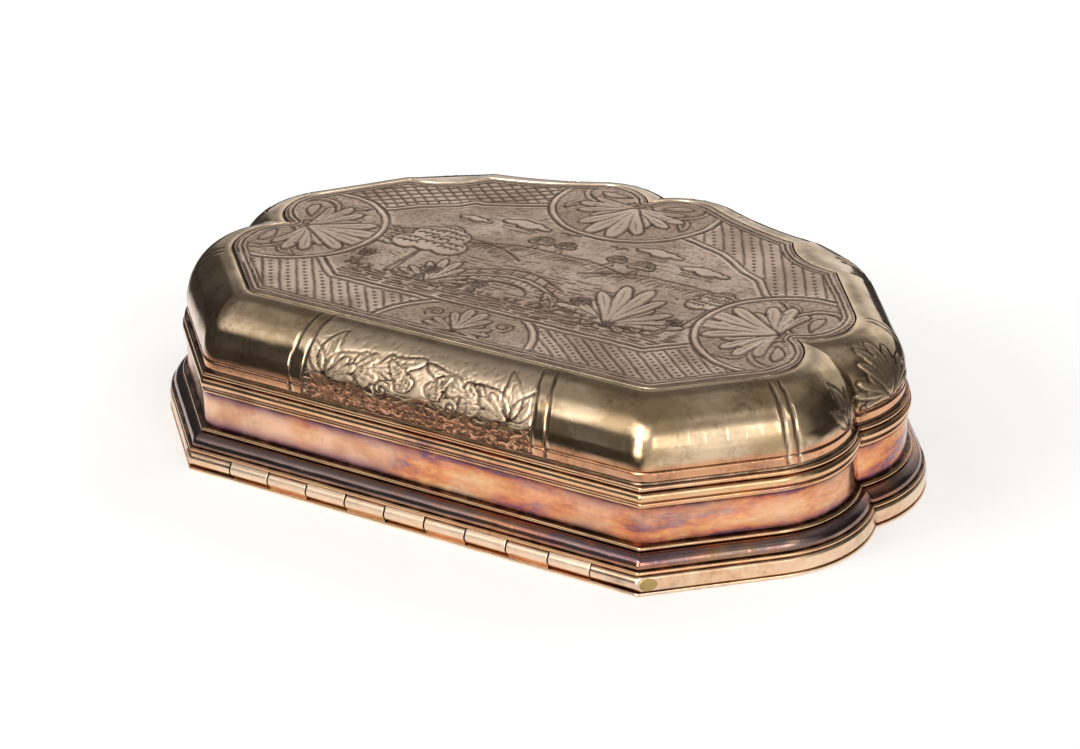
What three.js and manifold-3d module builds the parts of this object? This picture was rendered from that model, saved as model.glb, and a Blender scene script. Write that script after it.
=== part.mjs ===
// Cartouche snuff box in gilt copper, standing on its lid with the engraved base uppermost.
// Millimetres. X runs along the hinge, Y from the hinge side to the lobed far side, Z up.
// The plan is measured from the line through the two end notches, then centred at the end.

import * as THREE from 'three';
import { mergeVertices } from 'three/addons/utils/BufferGeometryUtils.js';
import Module from 'manifold-3d';

const wasm = await Module();
wasm.setup();

// Plan outline at the outer face of the side wall
const HINGE_SIDE_Y = -26.3;
const NEAR_LOBE = { x: 31.2, y: -5.8, radius: 13.5 };
const FAR_LOBE = { x: 32.4, y: 5.8, radius: 13.1 };
const BACK_LOBE = { x: 5.5, y: 24.4, radius: 12.9 };
const NEAR_SIDE_HEADING = 45;
const FAR_SIDE_HEADING = 126.6;
const BACK_SIDE_HEADING = 159;
const BACK_SIDE_HOLLOW = -0.6;

// The small petal between the far side and the back: its two ends at the wall face,
// how far each moves for a millimetre of offset, and its bulge at the base plate and below
const PETAL_FRONT_Y = 24.3;
const PETAL_FRONT_SHIFT = 0.75;
const PETAL_BACK = { x: 25.1, y: 32.5 };
const PETAL_BACK_SHIFT = { x: 0.5, y: 1.15 };
const PETAL_HOLLOW_AT_PLATE = -1.5;
const PETAL_BULGE_BELOW = 1.0;

// Segments of each stretch of the plan
const LOBE_SEGMENTS = 8;
const BACK_LOBE_SEGMENTS = 8;
const PETAL_SEGMENTS = 6;
const BACK_SIDE_SEGMENTS = 4;

// Heights
const LID_SHEET = 0.4;
const PARTING_Z = 2.4;
const CASE_RIM_HEIGHT = 0.55;
const WALL_BOTTOM_Z = 5.2;
const WALL_TOP_Z = 9.6;
const LOWER_BEAD_TOP_Z = 11.45;
const UPPER_BEAD_TOP_Z = 12.2;
const DOME_BOTTOM_Z = 13.9;
const DOME_TOP_Z = 20.85;
const BASE_PLATE_PROUD = 0.15;
const BASE_PLATE_THICKNESS = 0.8;
const BASE_PLATE_TOP_Z = DOME_TOP_Z + BASE_PLATE_PROUD;

// Offsets from the outer face of the side wall, outward positive
const SHEET = 0.9;
const INNER_FACE = -SHEET;
const DOME_FOOT = -0.25;
const DOME_LIP = 0.15;
const PLATE_SEAT_WIDTH = 0.75;
const PLATE_EDGE_CLEARANCE = 0.15;
const NOTCH_CLEARANCE = 0.2;
const FOOT_REACH = 1.85;
const RIM_REACH = 2.25;
const LID_REACH = 2.5;
const LID_RIM_REACH = LID_REACH - 0.1;
const LID_RIM_INNER = 0.3;
const BEZEL_CLEARANCE = 0.3;
const BEZEL_THICKNESS = 0.7;
const BEZEL_RISE = 1.1;
const DOME_SEGMENTS = 7;
const DOME_INNER_SEGMENTS = 4;
const OVOLO_SEGMENTS = 5;
const BEAD_SEGMENTS = 4;

// How far in from the wall face the end notches and the back notch still exist. The ledge
// for the base plate reaches almost as far, and the crown of the dome lies outside it.
const END_NOTCH_DEPTH = (NEAR_LOBE.radius + FAR_LOBE.radius
  - Math.hypot(FAR_LOBE.x - NEAR_LOBE.x, FAR_LOBE.y - NEAR_LOBE.y)) / 2;
const BACK_NOTCH_DEPTH = BACK_LOBE.radius - BACK_LOBE.x;
const PLATE_SEAT_LIP = NOTCH_CLEARANCE - Math.min(END_NOTCH_DEPTH, BACK_NOTCH_DEPTH);
const PLATE_SEAT_WALL = PLATE_SEAT_LIP + PLATE_SEAT_WIDTH;
const DOME_CROWN = PLATE_SEAT_WALL + DOME_LIP;

// Hinge: nine knuckles between two ends of the lid rim
const KNUCKLE_COUNT = 9;
const KNUCKLE_PITCH = 5.5;
const KNUCKLE_GAP = 0.15;
const KNUCKLE_RADIUS = 0.95;
const KNUCKLE_BORE_RADIUS = 0.56;
const KNUCKLE_FOOT_WIDTH = 1.3;
const PIN_RADIUS = 0.5;
const PLUG_RADIUS = 0.75;
const PLUG_CLEARANCE = 0.06;
const PLUG_SEAT_X = 28.2;
const PAST_CORNER_X = PLUG_SEAT_X + 8;
const ROUND_SEGMENTS = 20;
const HINGE_Z = (LID_SHEET + PARTING_Z) / 2;
const HINGE_Y = HINGE_SIDE_Y - LID_REACH + KNUCKLE_RADIUS;

// Colours and finishes
const GILT_BRASS = { color: 0x8d7f5c, roughness: 0.28, metalness: 1 };
const ENGRAVED_COPPER = { color: 0x9c8272, roughness: 0.42, metalness: 1 };
const WORN_COPPER = { color: 0xc98a5e, roughness: 0.3, metalness: 1 };
const PALE_GILT = { color: 0xe6c39a, roughness: 0.3, metalness: 1 };
const PLUG_BRASS = { color: 0xa08a52, roughness: 0.35, metalness: 1 };
const STEEL = { color: 0x6f6a64, roughness: 0.35, metalness: 1 };

const radians = THREE.MathUtils.degToRad;

// The outward normal of a plan line that runs counter-clockwise at a heading in degrees.
function normalOf(heading) {
  return new THREE.Vector2(Math.sin(radians(heading)), -Math.cos(radians(heading)));
}

function directionOf(heading) {
  return new THREE.Vector2(Math.cos(radians(heading)), Math.sin(radians(heading)));
}

// Where the line through a point at a heading reaches a given y.
function pointAtY(point, heading, y) {
  const direction = directionOf(heading);
  return point.clone().addScaledVector(direction, (y - point.y) / direction.y);
}

// The outer of the two points that two circles share.
function circlesMeet(first, second) {
  const between = new THREE.Vector2(second.x - first.x, second.y - first.y);
  const distance = between.length();
  const along = (first.radius ** 2 - second.radius ** 2 + distance ** 2) / (2 * distance);
  const aside = Math.sqrt(first.radius ** 2 - along ** 2);
  const unit = between.divideScalar(distance);
  return new THREE.Vector2(
    first.x + unit.x * along + unit.y * aside,
    first.y + unit.y * along - unit.x * aside,
  );
}

// Points of a circle from one point to another, both on it, without the last.
function arcPoints(circle, from, to, segments) {
  const start = Math.atan2(from.y - circle.y, from.x - circle.x);
  const end = Math.atan2(to.y - circle.y, to.x - circle.x);
  const points = [];
  for (let i = 0; i < segments; i += 1) {
    const angle = start + ((end - start) * i) / segments;
    points.push(new THREE.Vector2(
      circle.x + circle.radius * Math.cos(angle),
      circle.y + circle.radius * Math.sin(angle),
    ));
  }
  return points;
}

// Points of a shallow curve with a given height over its chord, without the last.
function bowPoints(from, to, height, segments) {
  const chord = to.clone().sub(from);
  const outward = new THREE.Vector2(chord.y, -chord.x).normalize();
  const points = [];
  for (let i = 0; i < segments; i += 1) {
    const t = i / segments;
    const point = from.clone().addScaledVector(chord, t);
    points.push(point.addScaledVector(outward, 4 * height * t * (1 - t)));
  }
  return points;
}

function grown(circle, offset) {
  return { x: circle.x, y: circle.y, radius: circle.radius + offset };
}

// How far down the dome an offset lies: 0 at its crown, 1 from a little above its foot.
function petalOpening(offset) {
  return THREE.MathUtils.smoothstep(offset, DOME_CROWN, -1.5);
}

// The closed plan outline at an offset from the wall face, counter-clockwise. Every offset
// gives the same number of points, and the notches stay sharp.
function planOutline(offset) {
  const near = grown(NEAR_LOBE, offset);
  const far = grown(FAR_LOBE, offset);
  const back = grown(BACK_LOBE, offset);
  const nearStart = new THREE.Vector2(near.x, near.y)
    .addScaledVector(normalOf(NEAR_SIDE_HEADING), near.radius);
  const corner = pointAtY(nearStart, NEAR_SIDE_HEADING, HINGE_SIDE_Y - offset);
  const endNotch = circlesMeet(near, far);
  const farEnd = new THREE.Vector2(far.x, far.y)
    .addScaledVector(normalOf(FAR_SIDE_HEADING), far.radius);
  const petalFront = pointAtY(
    farEnd,
    FAR_SIDE_HEADING,
    PETAL_FRONT_Y + PETAL_FRONT_SHIFT * offset,
  );
  const petalBack = new THREE.Vector2(
    PETAL_BACK.x + PETAL_BACK_SHIFT.x * offset,
    PETAL_BACK.y + PETAL_BACK_SHIFT.y * offset,
  );
  const petalBulge = THREE.MathUtils.lerp(
    PETAL_HOLLOW_AT_PLATE,
    PETAL_BULGE_BELOW,
    petalOpening(offset),
  );
  const backStart = new THREE.Vector2(back.x, back.y)
    .addScaledVector(normalOf(BACK_SIDE_HEADING), back.radius);
  const backNotch = new THREE.Vector2(0, back.y + Math.sqrt(back.radius ** 2 - back.x ** 2));

  const right = [
    corner,
    ...arcPoints(near, nearStart, endNotch, LOBE_SEGMENTS),
    ...arcPoints(far, endNotch, farEnd, LOBE_SEGMENTS),
    farEnd,
    ...bowPoints(petalFront, petalBack, petalBulge, PETAL_SEGMENTS),
    ...bowPoints(petalBack, backStart, BACK_SIDE_HOLLOW, BACK_SIDE_SEGMENTS),
    ...arcPoints(back, backStart, backNotch, BACK_LOBE_SEGMENTS),
  ];
  const left = right.map((point) => new THREE.Vector2(-point.x, point.y)).reverse();
  return [...right, backNotch, ...left];
}

// A closed ring that follows the plan: its section is a closed profile of [offset, height]
// points, counter-clockwise as seen with the outside of the box to the right.
function mouldedRing(profile) {
  const rings = profile.map(([offset, z]) => planOutline(offset).map((p) => [p.x, p.y, z]));
  const around = rings[0].length;
  const index = [];
  for (let row = 0; row < rings.length; row += 1) {
    const above = (row + 1) % rings.length;
    for (let i = 0; i < around; i += 1) {
      const next = (i + 1) % around;
      const a = row * around + i;
      const b = row * around + next;
      const c = above * around + next;
      const d = above * around + i;
      index.push(a, b, c, a, c, d);
    }
  }
  const geometry = new THREE.BufferGeometry();
  geometry.setAttribute('position', new THREE.Float32BufferAttribute(rings.flat(2), 3));
  geometry.setIndex(index);
  return geometry;
}

// A flat sheet in the shape of the plan.
function planSheet(offset, bottomZ, topZ) {
  const geometry = new THREE.ExtrudeGeometry(new THREE.Shape(planOutline(offset)), {
    depth: topZ - bottomZ,
    bevelEnabled: false,
  });
  geometry.translate(0, 0, bottomZ);
  return geometry;
}

// Profile points on an ellipse, from one angle to another in degrees, both ends kept.
function profileArc(centreOffset, centreZ, radiusOut, radiusUp, startAngle, endAngle, segments) {
  const points = [];
  for (let i = 0; i <= segments; i += 1) {
    const angle = radians(startAngle + ((endAngle - startAngle) * i) / segments);
    points.push([
      centreOffset + radiusOut * Math.cos(angle),
      centreZ + radiusUp * Math.sin(angle),
    ]);
  }
  return points;
}

function toSolid(geometry) {
  const plain = geometry.clone();
  plain.deleteAttribute('normal');
  plain.deleteAttribute('uv');
  const merged = mergeVertices(plain, 1e-5);
  return new wasm.Manifold(new wasm.Mesh({
    numProp: 3,
    vertProperties: new Float32Array(merged.attributes.position.array),
    triVerts: new Uint32Array(merged.index.array),
  }));
}

function toGeometry(solid) {
  const mesh = solid.getMesh();
  const geometry = new THREE.BufferGeometry();
  geometry.setAttribute('position', new THREE.BufferAttribute(mesh.vertProperties, 3));
  geometry.setIndex(new THREE.BufferAttribute(mesh.triVerts, 1));
  return geometry;
}

// A round bar on the hinge line between two places along X.
function hingeBar(radius, startX, endX) {
  const geometry = new THREE.CylinderGeometry(radius, radius, endX - startX, ROUND_SEGMENTS);
  geometry.rotateZ(Math.PI / 2);
  geometry.translate((startX + endX) / 2, HINGE_Y, HINGE_Z);
  return geometry;
}

// The base plate lies on the ledge of the shoulder.
function basePlate() {
  const edge = PLATE_SEAT_WALL - PLATE_EDGE_CLEARANCE;
  return planSheet(edge, BASE_PLATE_TOP_Z - BASE_PLATE_THICKNESS, BASE_PLATE_TOP_Z);
}

// The bombe shoulder: an upright band, a swelling dome and the ledge that takes the plate.
function shoulder() {
  const seatZ = BASE_PLATE_TOP_Z - BASE_PLATE_THICKNESS;
  const ledgeThickness = 0.6;
  const innerFoot = DOME_FOOT - SHEET;
  const innerCrownZ = seatZ - ledgeThickness;
  const innerFootZ = DOME_BOTTOM_Z - 0.4;
  return mouldedRing([
    [innerFoot, UPPER_BEAD_TOP_Z],
    [DOME_FOOT, UPPER_BEAD_TOP_Z],
    ...profileArc(
      DOME_CROWN,
      DOME_BOTTOM_Z,
      DOME_FOOT - DOME_CROWN,
      DOME_TOP_Z - DOME_BOTTOM_Z,
      0,
      90,
      DOME_SEGMENTS,
    ),
    [PLATE_SEAT_WALL, DOME_TOP_Z],
    [PLATE_SEAT_WALL, seatZ],
    [PLATE_SEAT_LIP, seatZ],
    ...profileArc(
      PLATE_SEAT_LIP,
      innerFootZ,
      innerFoot - PLATE_SEAT_LIP,
      innerCrownZ - innerFootZ,
      90,
      0,
      DOME_INNER_SEGMENTS,
    ),
  ]);
}

// The upper, finer bead of the waist.
function waistBeadUpper() {
  const beadRadius = (UPPER_BEAD_TOP_Z - LOWER_BEAD_TOP_Z) / 2;
  const beadCentreZ = LOWER_BEAD_TOP_Z + beadRadius;
  return mouldedRing([
    [INNER_FACE, LOWER_BEAD_TOP_Z],
    ...profileArc(-0.3, beadCentreZ, beadRadius, beadRadius, -90, 90, BEAD_SEGMENTS),
    [INNER_FACE, UPPER_BEAD_TOP_Z],
  ]);
}

// The lower bead of the waist, over a narrow flat fillet.
function waistBeadLower() {
  const filletTopZ = WALL_TOP_Z + 0.6;
  const beadRadius = (LOWER_BEAD_TOP_Z - filletTopZ) / 2;
  return mouldedRing([
    [INNER_FACE, WALL_TOP_Z],
    [0.12, WALL_TOP_Z],
    [0.12, filletTopZ - 0.1],
    [-0.1, filletTopZ],
    ...profileArc(-0.1, filletTopZ + beadRadius, 0.45, beadRadius, -70, 70, BEAD_SEGMENTS),
    [-0.25, LOWER_BEAD_TOP_Z],
    [INNER_FACE, LOWER_BEAD_TOP_Z],
  ]);
}

// The plain upright band of the case.
function sideWall() {
  return mouldedRing([
    [INNER_FACE, WALL_BOTTOM_Z],
    [0, WALL_BOTTOM_Z],
    [0, WALL_TOP_Z],
    [INNER_FACE, WALL_TOP_Z],
  ]);
}

// The spreading foot: a small bead under the wall, then a full ovolo.
function footMoulding() {
  const bottomZ = PARTING_Z + CASE_RIM_HEIGHT;
  const beadRadius = 0.3;
  const beadBottomZ = WALL_BOTTOM_Z - 0.1 - 2 * beadRadius;
  const neck = 0.4;
  const ovoloBottomZ = bottomZ + 0.15;
  return mouldedRing([
    [INNER_FACE, bottomZ],
    [FOOT_REACH, bottomZ],
    ...profileArc(
      neck,
      ovoloBottomZ,
      FOOT_REACH - neck,
      beadBottomZ - ovoloBottomZ,
      0,
      90,
      OVOLO_SEGMENTS,
    ),
    ...profileArc(
      neck - 0.05,
      beadBottomZ + beadRadius,
      beadRadius,
      beadRadius,
      -60,
      90,
      BEAD_SEGMENTS,
    ),
    [0, WALL_BOTTOM_Z],
    [INNER_FACE, WALL_BOTTOM_Z],
  ]);
}

// The mouth rim of the case, a flat ring with a half round edge.
function caseRim() {
  const edgeRadius = CASE_RIM_HEIGHT / 2;
  return mouldedRing([
    [INNER_FACE, PARTING_Z],
    ...profileArc(
      RIM_REACH - edgeRadius,
      PARTING_Z + edgeRadius,
      edgeRadius,
      edgeRadius,
      -90,
      90,
      BEAD_SEGMENTS,
    ),
    [INNER_FACE, PARTING_Z + CASE_RIM_HEIGHT],
  ]);
}

// The lid's flat sheet, which the box stands on.
function lidPlate() {
  return planSheet(LID_REACH, 0, LID_SHEET);
}

// What the case rim sweeps through outside the hinge line as the box opens, less the barrel.
function hingeSweep() {
  const reach = 2 * KNUCKLE_RADIUS;
  const depth = 0.7 * KNUCKLE_RADIUS;
  const block = new THREE.BoxGeometry(2 * PAST_CORNER_X, reach, reach + depth);
  block.translate(0, HINGE_Y - reach / 2, HINGE_Z + (reach - depth) / 2);
  const barrel = hingeBar(KNUCKLE_RADIUS, -PAST_CORNER_X, PAST_CORNER_X);
  return toSolid(block).subtract(toSolid(barrel));
}

// The lid's edge strip. On the hinge side it gives way to the knuckles, and its two ends
// there are rounded like them, bored for the pin and counterbored for the plugs.
function lidRim() {
  const edge = LID_RIM_REACH;
  const strip = mouldedRing([
    [LID_RIM_INNER, LID_SHEET],
    [edge - 0.15, LID_SHEET],
    [edge, LID_SHEET + 0.25],
    [edge, PARTING_Z - 0.5],
    [edge - 0.08, PARTING_Z - 0.2],
    [edge - 0.3, PARTING_Z],
    [LID_RIM_INNER, PARTING_Z],
  ]);
  const gapLength = KNUCKLE_COUNT * KNUCKLE_PITCH + KNUCKLE_GAP;
  const gapDepth = 2 * LID_REACH;
  const gap = new THREE.BoxGeometry(gapLength, gapDepth, 2 * PARTING_Z);
  gap.translate(0, HINGE_SIDE_Y - LID_RIM_INNER, HINGE_Z);
  const bore = hingeBar(KNUCKLE_BORE_RADIUS, -PAST_CORNER_X, PAST_CORNER_X);
  const rightSeat = hingeBar(PLUG_RADIUS + PLUG_CLEARANCE, PLUG_SEAT_X, PAST_CORNER_X);
  const leftSeat = hingeBar(PLUG_RADIUS + PLUG_CLEARANCE, -PAST_CORNER_X, -PLUG_SEAT_X);
  return toGeometry(
    toSolid(strip)
      .subtract(toSolid(gap))
      .subtract(hingeSweep())
      .subtract(toSolid(bore))
      .subtract(toSolid(rightSeat))
      .subtract(toSolid(leftSeat)),
  );
}

// The upright flange inside the lid that guides the mouth of the case.
function lidBezel() {
  const outer = INNER_FACE - BEZEL_CLEARANCE;
  const inner = outer - BEZEL_THICKNESS;
  const topZ = PARTING_Z + BEZEL_RISE;
  return mouldedRing([
    [inner, LID_SHEET],
    [outer, LID_SHEET],
    [outer, topZ - 0.2],
    [outer - 0.15, topZ],
    [inner, topZ],
  ]);
}

// A knuckle: a tube with a flat foot, upward on the case and downward on the lid. An arc in
// a shape gets twice the segments that its extrusion asks for.
function knuckle(place, onCase) {
  const footReach = (PARTING_Z - LID_SHEET) / 2;
  const side = onCase ? 1 : -1;
  const half = KNUCKLE_FOOT_WIDTH / 2;
  const meet = Math.acos(half / KNUCKLE_RADIUS);
  const section = new THREE.Shape();
  section.moveTo(half, footReach);
  section.lineTo(-half, footReach);
  section.absarc(0, 0, KNUCKLE_RADIUS, Math.PI - meet, 2 * Math.PI + meet, false);
  const bore = new THREE.Path();
  bore.absarc(0, 0, KNUCKLE_BORE_RADIUS, 0, 2 * Math.PI, true);
  section.holes.push(bore);
  const length = KNUCKLE_PITCH - KNUCKLE_GAP;
  const geometry = new THREE.ExtrudeGeometry(section, {
    depth: length,
    bevelEnabled: false,
    curveSegments: ROUND_SEGMENTS / 2,
  });
  geometry.translate(0, 0, -length / 2);
  geometry.rotateX(Math.PI / 2);
  geometry.rotateZ(Math.PI / 2);
  if (side < 0) {
    geometry.rotateX(Math.PI);
  }
  geometry.translate((place - (KNUCKLE_COUNT - 1) / 2) * KNUCKLE_PITCH, HINGE_Y, HINGE_Z);
  return geometry;
}

function hingePin() {
  return hingeBar(PIN_RADIUS, -PLUG_SEAT_X, PLUG_SEAT_X);
}

// A plug closes the bore at a corner and is trimmed flush with the slanting lid edge.
function pinPlug(side) {
  const bar = side > 0
    ? hingeBar(PLUG_RADIUS, PLUG_SEAT_X, PAST_CORNER_X)
    : hingeBar(PLUG_RADIUS, -PAST_CORNER_X, -PLUG_SEAT_X);
  const lidBlock = planSheet(LID_RIM_REACH, 0, PARTING_Z);
  return toGeometry(toSolid(bar).intersect(toSolid(lidBlock)));
}

function namedMesh(name, geometry, finish) {
  geometry.computeVertexNormals();
  const mesh = new THREE.Mesh(geometry, new THREE.MeshStandardMaterial(finish));
  mesh.name = name;
  return mesh;
}

const caseBody = new THREE.Group();
caseBody.add(namedMesh('base_plate', basePlate(), ENGRAVED_COPPER));
caseBody.add(namedMesh('shoulder', shoulder(), GILT_BRASS));
caseBody.add(namedMesh('waist_bead_upper', waistBeadUpper(), WORN_COPPER));
caseBody.add(namedMesh('waist_bead_lower', waistBeadLower(), WORN_COPPER));
caseBody.add(namedMesh('side_wall', sideWall(), WORN_COPPER));
caseBody.add(namedMesh('foot_moulding', footMoulding(), WORN_COPPER));
caseBody.add(namedMesh('case_rim', caseRim(), WORN_COPPER));

const lidBody = new THREE.Group();
lidBody.add(namedMesh('lid_plate', lidPlate(), PALE_GILT));
lidBody.add(namedMesh('lid_rim', lidRim(), PALE_GILT));
lidBody.add(namedMesh('lid_bezel', lidBezel(), WORN_COPPER));
lidBody.add(namedMesh('hinge_pin', hingePin(), STEEL));
lidBody.add(namedMesh('pin_plug_left', pinPlug(-1), PLUG_BRASS));
lidBody.add(namedMesh('pin_plug_right', pinPlug(1), PLUG_BRASS));

for (let place = 0; place < KNUCKLE_COUNT; place += 1) {
  const onCase = place % 2 === 0;
  const name = `${onCase ? 'case' : 'lid'}_knuckle_${place + 1}`;
  const body = onCase ? caseBody : lidBody;
  body.add(namedMesh(name, knuckle(place, onCase), PALE_GILT));
}

// The widest outline is the lid's: its middle becomes the origin.
const lidEdge = planOutline(LID_REACH).map((point) => point.y);
const group = new THREE.Group();
group.add(lidBody, caseBody);
group.position.y = -(Math.min(...lidEdge) + Math.max(...lidEdge)) / 2;

export default group;
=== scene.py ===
"""An engraved gilt copper snuff box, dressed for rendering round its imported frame.

The box lies on its lid with the engraved base uppermost. Lengths in the code are in
millimetres and angles in degrees, unless a name says otherwise. Plans are drawn from
the line through the two end notches, as the box's own drawing is.
"""
import math

import bmesh
import bpy
import numpy as np
from mathutils import Matrix, Vector


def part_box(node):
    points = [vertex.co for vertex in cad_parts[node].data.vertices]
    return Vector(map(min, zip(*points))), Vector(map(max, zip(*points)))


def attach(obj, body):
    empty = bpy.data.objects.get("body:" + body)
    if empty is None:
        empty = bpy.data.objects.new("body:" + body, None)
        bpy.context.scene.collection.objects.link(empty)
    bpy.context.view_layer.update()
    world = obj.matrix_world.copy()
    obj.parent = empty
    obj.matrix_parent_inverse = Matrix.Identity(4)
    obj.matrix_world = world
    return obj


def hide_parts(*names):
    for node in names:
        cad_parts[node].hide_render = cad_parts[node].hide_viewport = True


bl_info = {
    "name": "Engraved Snuff Box",
    "version": (1, 0, 0),
    "blender": (4, 5, 0),
    "location": "View3D > Sidebar > Snuff Box",
    "description": "Dresses the frame of a cartouche snuff box with engraving and old gilding",
    "category": "Object",
}

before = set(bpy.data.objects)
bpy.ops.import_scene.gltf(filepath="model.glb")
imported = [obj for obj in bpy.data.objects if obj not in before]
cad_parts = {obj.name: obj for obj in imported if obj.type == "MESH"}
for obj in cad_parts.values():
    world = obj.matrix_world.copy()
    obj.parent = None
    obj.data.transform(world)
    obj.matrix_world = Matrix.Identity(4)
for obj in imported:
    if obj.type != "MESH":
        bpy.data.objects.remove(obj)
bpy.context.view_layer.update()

MM = 0.001

# Plan outline at the outer face of the side wall
HINGE_SIDE_Y = -26.3
NEAR_LOBE = (31.2, -5.8, 13.5)
FAR_LOBE = (32.4, 5.8, 13.1)
BACK_LOBE = (5.5, 24.4, 12.9)
NEAR_SIDE_HEADING = 45.0
FAR_SIDE_HEADING = 126.6
BACK_SIDE_HEADING = 159.0
BACK_SIDE_HOLLOW = -0.6
PETAL_FRONT_Y = 24.3
PETAL_FRONT_SHIFT = 0.75
PETAL_BACK = (25.1, 32.5)
PETAL_BACK_SHIFT = (0.5, 1.15)
PETAL_HOLLOW_AT_PLATE = -1.5
PETAL_BULGE_BELOW = 1.0

# How a run round the box is measured and stepped
RUN_OFFSET = -2.0
STRETCH_BENDS = (1, 1, 1.12, 1.2, 1, 1.03, 1.02, 1.12)
EASE_STEPS = 7

# Heights
LID_SHEET = 0.4
PARTING_Z = 2.4
CASE_RIM_HEIGHT = 0.55
WALL_BOTTOM_Z = 5.2
WALL_TOP_Z = 9.6
LOWER_BEAD_TOP_Z = 11.45
UPPER_BEAD_TOP_Z = 12.2
SHOULDER_SEAM_Z = 13.62
DOME_BOTTOM_Z = 13.9
DOME_TOP_Z = 20.85
BASE_PLATE_TOP_Z = 21.0
BASE_PLATE_BOTTOM_Z = 20.2

# Offsets from the outer face of the side wall, outward positive
INNER_FACE = -0.9
DOME_FOOT = -0.25
DOME_CROWN = -6.3
PLATE_SEAT_WALL = -6.45
PLATE_SEAT_LIP = -7.2
PLATE_EDGE = -6.6
FOOT_REACH = 1.85
RIM_REACH = 2.25
LID_REACH = 2.5
LID_RIM_REACH = 2.4
LID_RIM_INNER = 0.3

# Hinge
KNUCKLE_COUNT = 9
KNUCKLE_PITCH = 5.5
KNUCKLE_GAP = 0.15
KNUCKLE_RADIUS = 0.95
KNUCKLE_BORE = 0.56
KNUCKLE_FOOT = 1.3
PLUG_RADIUS = 0.75
PLUG_LENGTH = 9.0
PLUG_START_X = 28.2
HINGE_Z = 1.4
HINGE_Y = -27.85

# The plan's own y and the frame's differ by this
PLAN_SHIFT_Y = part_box("lid_plate")[0].y / MM - (HINGE_SIDE_Y - LID_REACH)


# Plan of the box

def heading_way(heading):
    angle = math.radians(heading)
    return np.array([math.cos(angle), math.sin(angle)])


def heading_normal(heading):
    x, y = heading_way(heading)
    return np.array([y, -x])


def rim_point(circle, heading):
    """Where a line of a heading touches the right side of a circle."""
    return circle[:2] + heading_normal(heading) * circle[2]


def point_at_y(point, heading, y):
    way = heading_way(heading)
    return point + way * (y - point[1]) / way[1]


def circles_meet(first, second):
    between = np.subtract(second[:2], first[:2])
    distance = np.hypot(*between)
    along = (first[2] ** 2 - second[2] ** 2 + distance ** 2) / (2 * distance)
    aside = math.sqrt(first[2] ** 2 - along ** 2)
    unit = between / distance
    return first[:2] + unit * along + np.array([unit[1], -unit[0]]) * aside


def arc(circle, start, end, count):
    first, last = (math.atan2(*(point - circle[:2])[::-1]) for point in (start, end))
    angles = first + (last - first) * np.arange(count) / count
    return np.column_stack([
        circle[0] + circle[2] * np.cos(angles), circle[1] + circle[2] * np.sin(angles)
    ])


def bow(start, end, count, height=0.0):
    """A straight or evenly bowed stretch, without its last point."""
    steps = np.arange(count)[:, None] / count
    chord = end - start
    aside = np.array([chord[1], -chord[0]]) / np.hypot(*chord)
    return start + chord * steps + aside * 4 * height * steps * (1 - steps)


def disc(x, y, radius, flatten=1.0):
    turn = np.radians(np.arange(0, 360, 24))
    return np.column_stack([x + radius * np.cos(turn), y + radius * flatten * np.sin(turn)])


def smoothstep(value, low, high):
    share = np.clip((value - low) / (high - low), 0, 1)
    return share * share * (3 - 2 * share)


def plan_corners(offset):
    """The stops of half the plan at an offset, its circles, and its petal's bulge."""
    near, far, back = (
        (x, y, radius + offset) for x, y, radius in (NEAR_LOBE, FAR_LOBE, BACK_LOBE)
    )
    near_start, far_end = rim_point(near, NEAR_SIDE_HEADING), rim_point(far, FAR_SIDE_HEADING)
    corner = point_at_y(near_start, NEAR_SIDE_HEADING, HINGE_SIDE_Y - offset)
    petal_front_y = PETAL_FRONT_Y + PETAL_FRONT_SHIFT * offset
    stops = {
        "middle": np.array([0.0, corner[1]]),
        "corner": corner,
        "near_start": near_start,
        "end_notch": circles_meet(near, far),
        "far_end": far_end,
        "petal_front": point_at_y(far_end, FAR_SIDE_HEADING, petal_front_y),
        "petal_back": np.array(PETAL_BACK) + np.array(PETAL_BACK_SHIFT) * offset,
        "back_start": rim_point(back, BACK_SIDE_HEADING),
        "back_notch": np.array([0.0, back[1] + math.sqrt(back[2] ** 2 - back[0] ** 2)]),
    }
    bulge = PETAL_HOLLOW_AT_PLATE + (
        PETAL_BULGE_BELOW - PETAL_HOLLOW_AT_PLATE
    ) * smoothstep(offset, DOME_CROWN, -1.5)
    return stops, (near, far, back), bulge


def stretch_counts(spacing):
    """How many steps each stretch of half the plan takes for a spacing."""
    stops = list(plan_corners(RUN_OFFSET)[0].values())
    return [
        max(2, round(np.hypot(*(b - a)) * bend / spacing))
        for a, b, bend in zip(stops, stops[1:], STRETCH_BENDS)
    ]


def plan_ring(offset, counts, ease=0.0):
    """The closed outline, counter-clockwise from the middle of the hinge side."""
    stops, (near, far, back), bulge = plan_corners(offset)
    middle, corner, near_start, notch, far_end, *petal, back_start, back_notch = stops.values()
    before, turn, after = corner, np.empty((0, 2)), corner
    if ease:
        before = corner - np.array([ease, 0.0])
        after = corner + heading_way(NEAR_SIDE_HEADING) * ease
        share = np.arange(EASE_STEPS)[:, None] / EASE_STEPS
        turn = before * (1 - share) ** 2 + corner * 2 * share * (1 - share) + after * share ** 2
    right = np.vstack([
        bow(middle, before, counts[0]),
        turn,
        bow(after, near_start, counts[1]),
        arc(near, near_start, notch, counts[2]),
        arc(far, notch, far_end, counts[3]),
        bow(far_end, petal[0], counts[4]),
        bow(*petal, counts[5], bulge),
        bow(petal[1], back_start, counts[6], BACK_SIDE_HOLLOW),
        arc(back, back_start, back_notch, counts[7]),
        back_notch[None],
    ])
    return np.vstack([right, (right * [-1, 1])[::-1][1:-1]])


def run_along(points):
    """How far along a line each of its points lies."""
    steps = np.hypot(*np.diff(points, axis=0).T)
    return np.concatenate([[0.0], np.cumsum(steps)])


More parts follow.
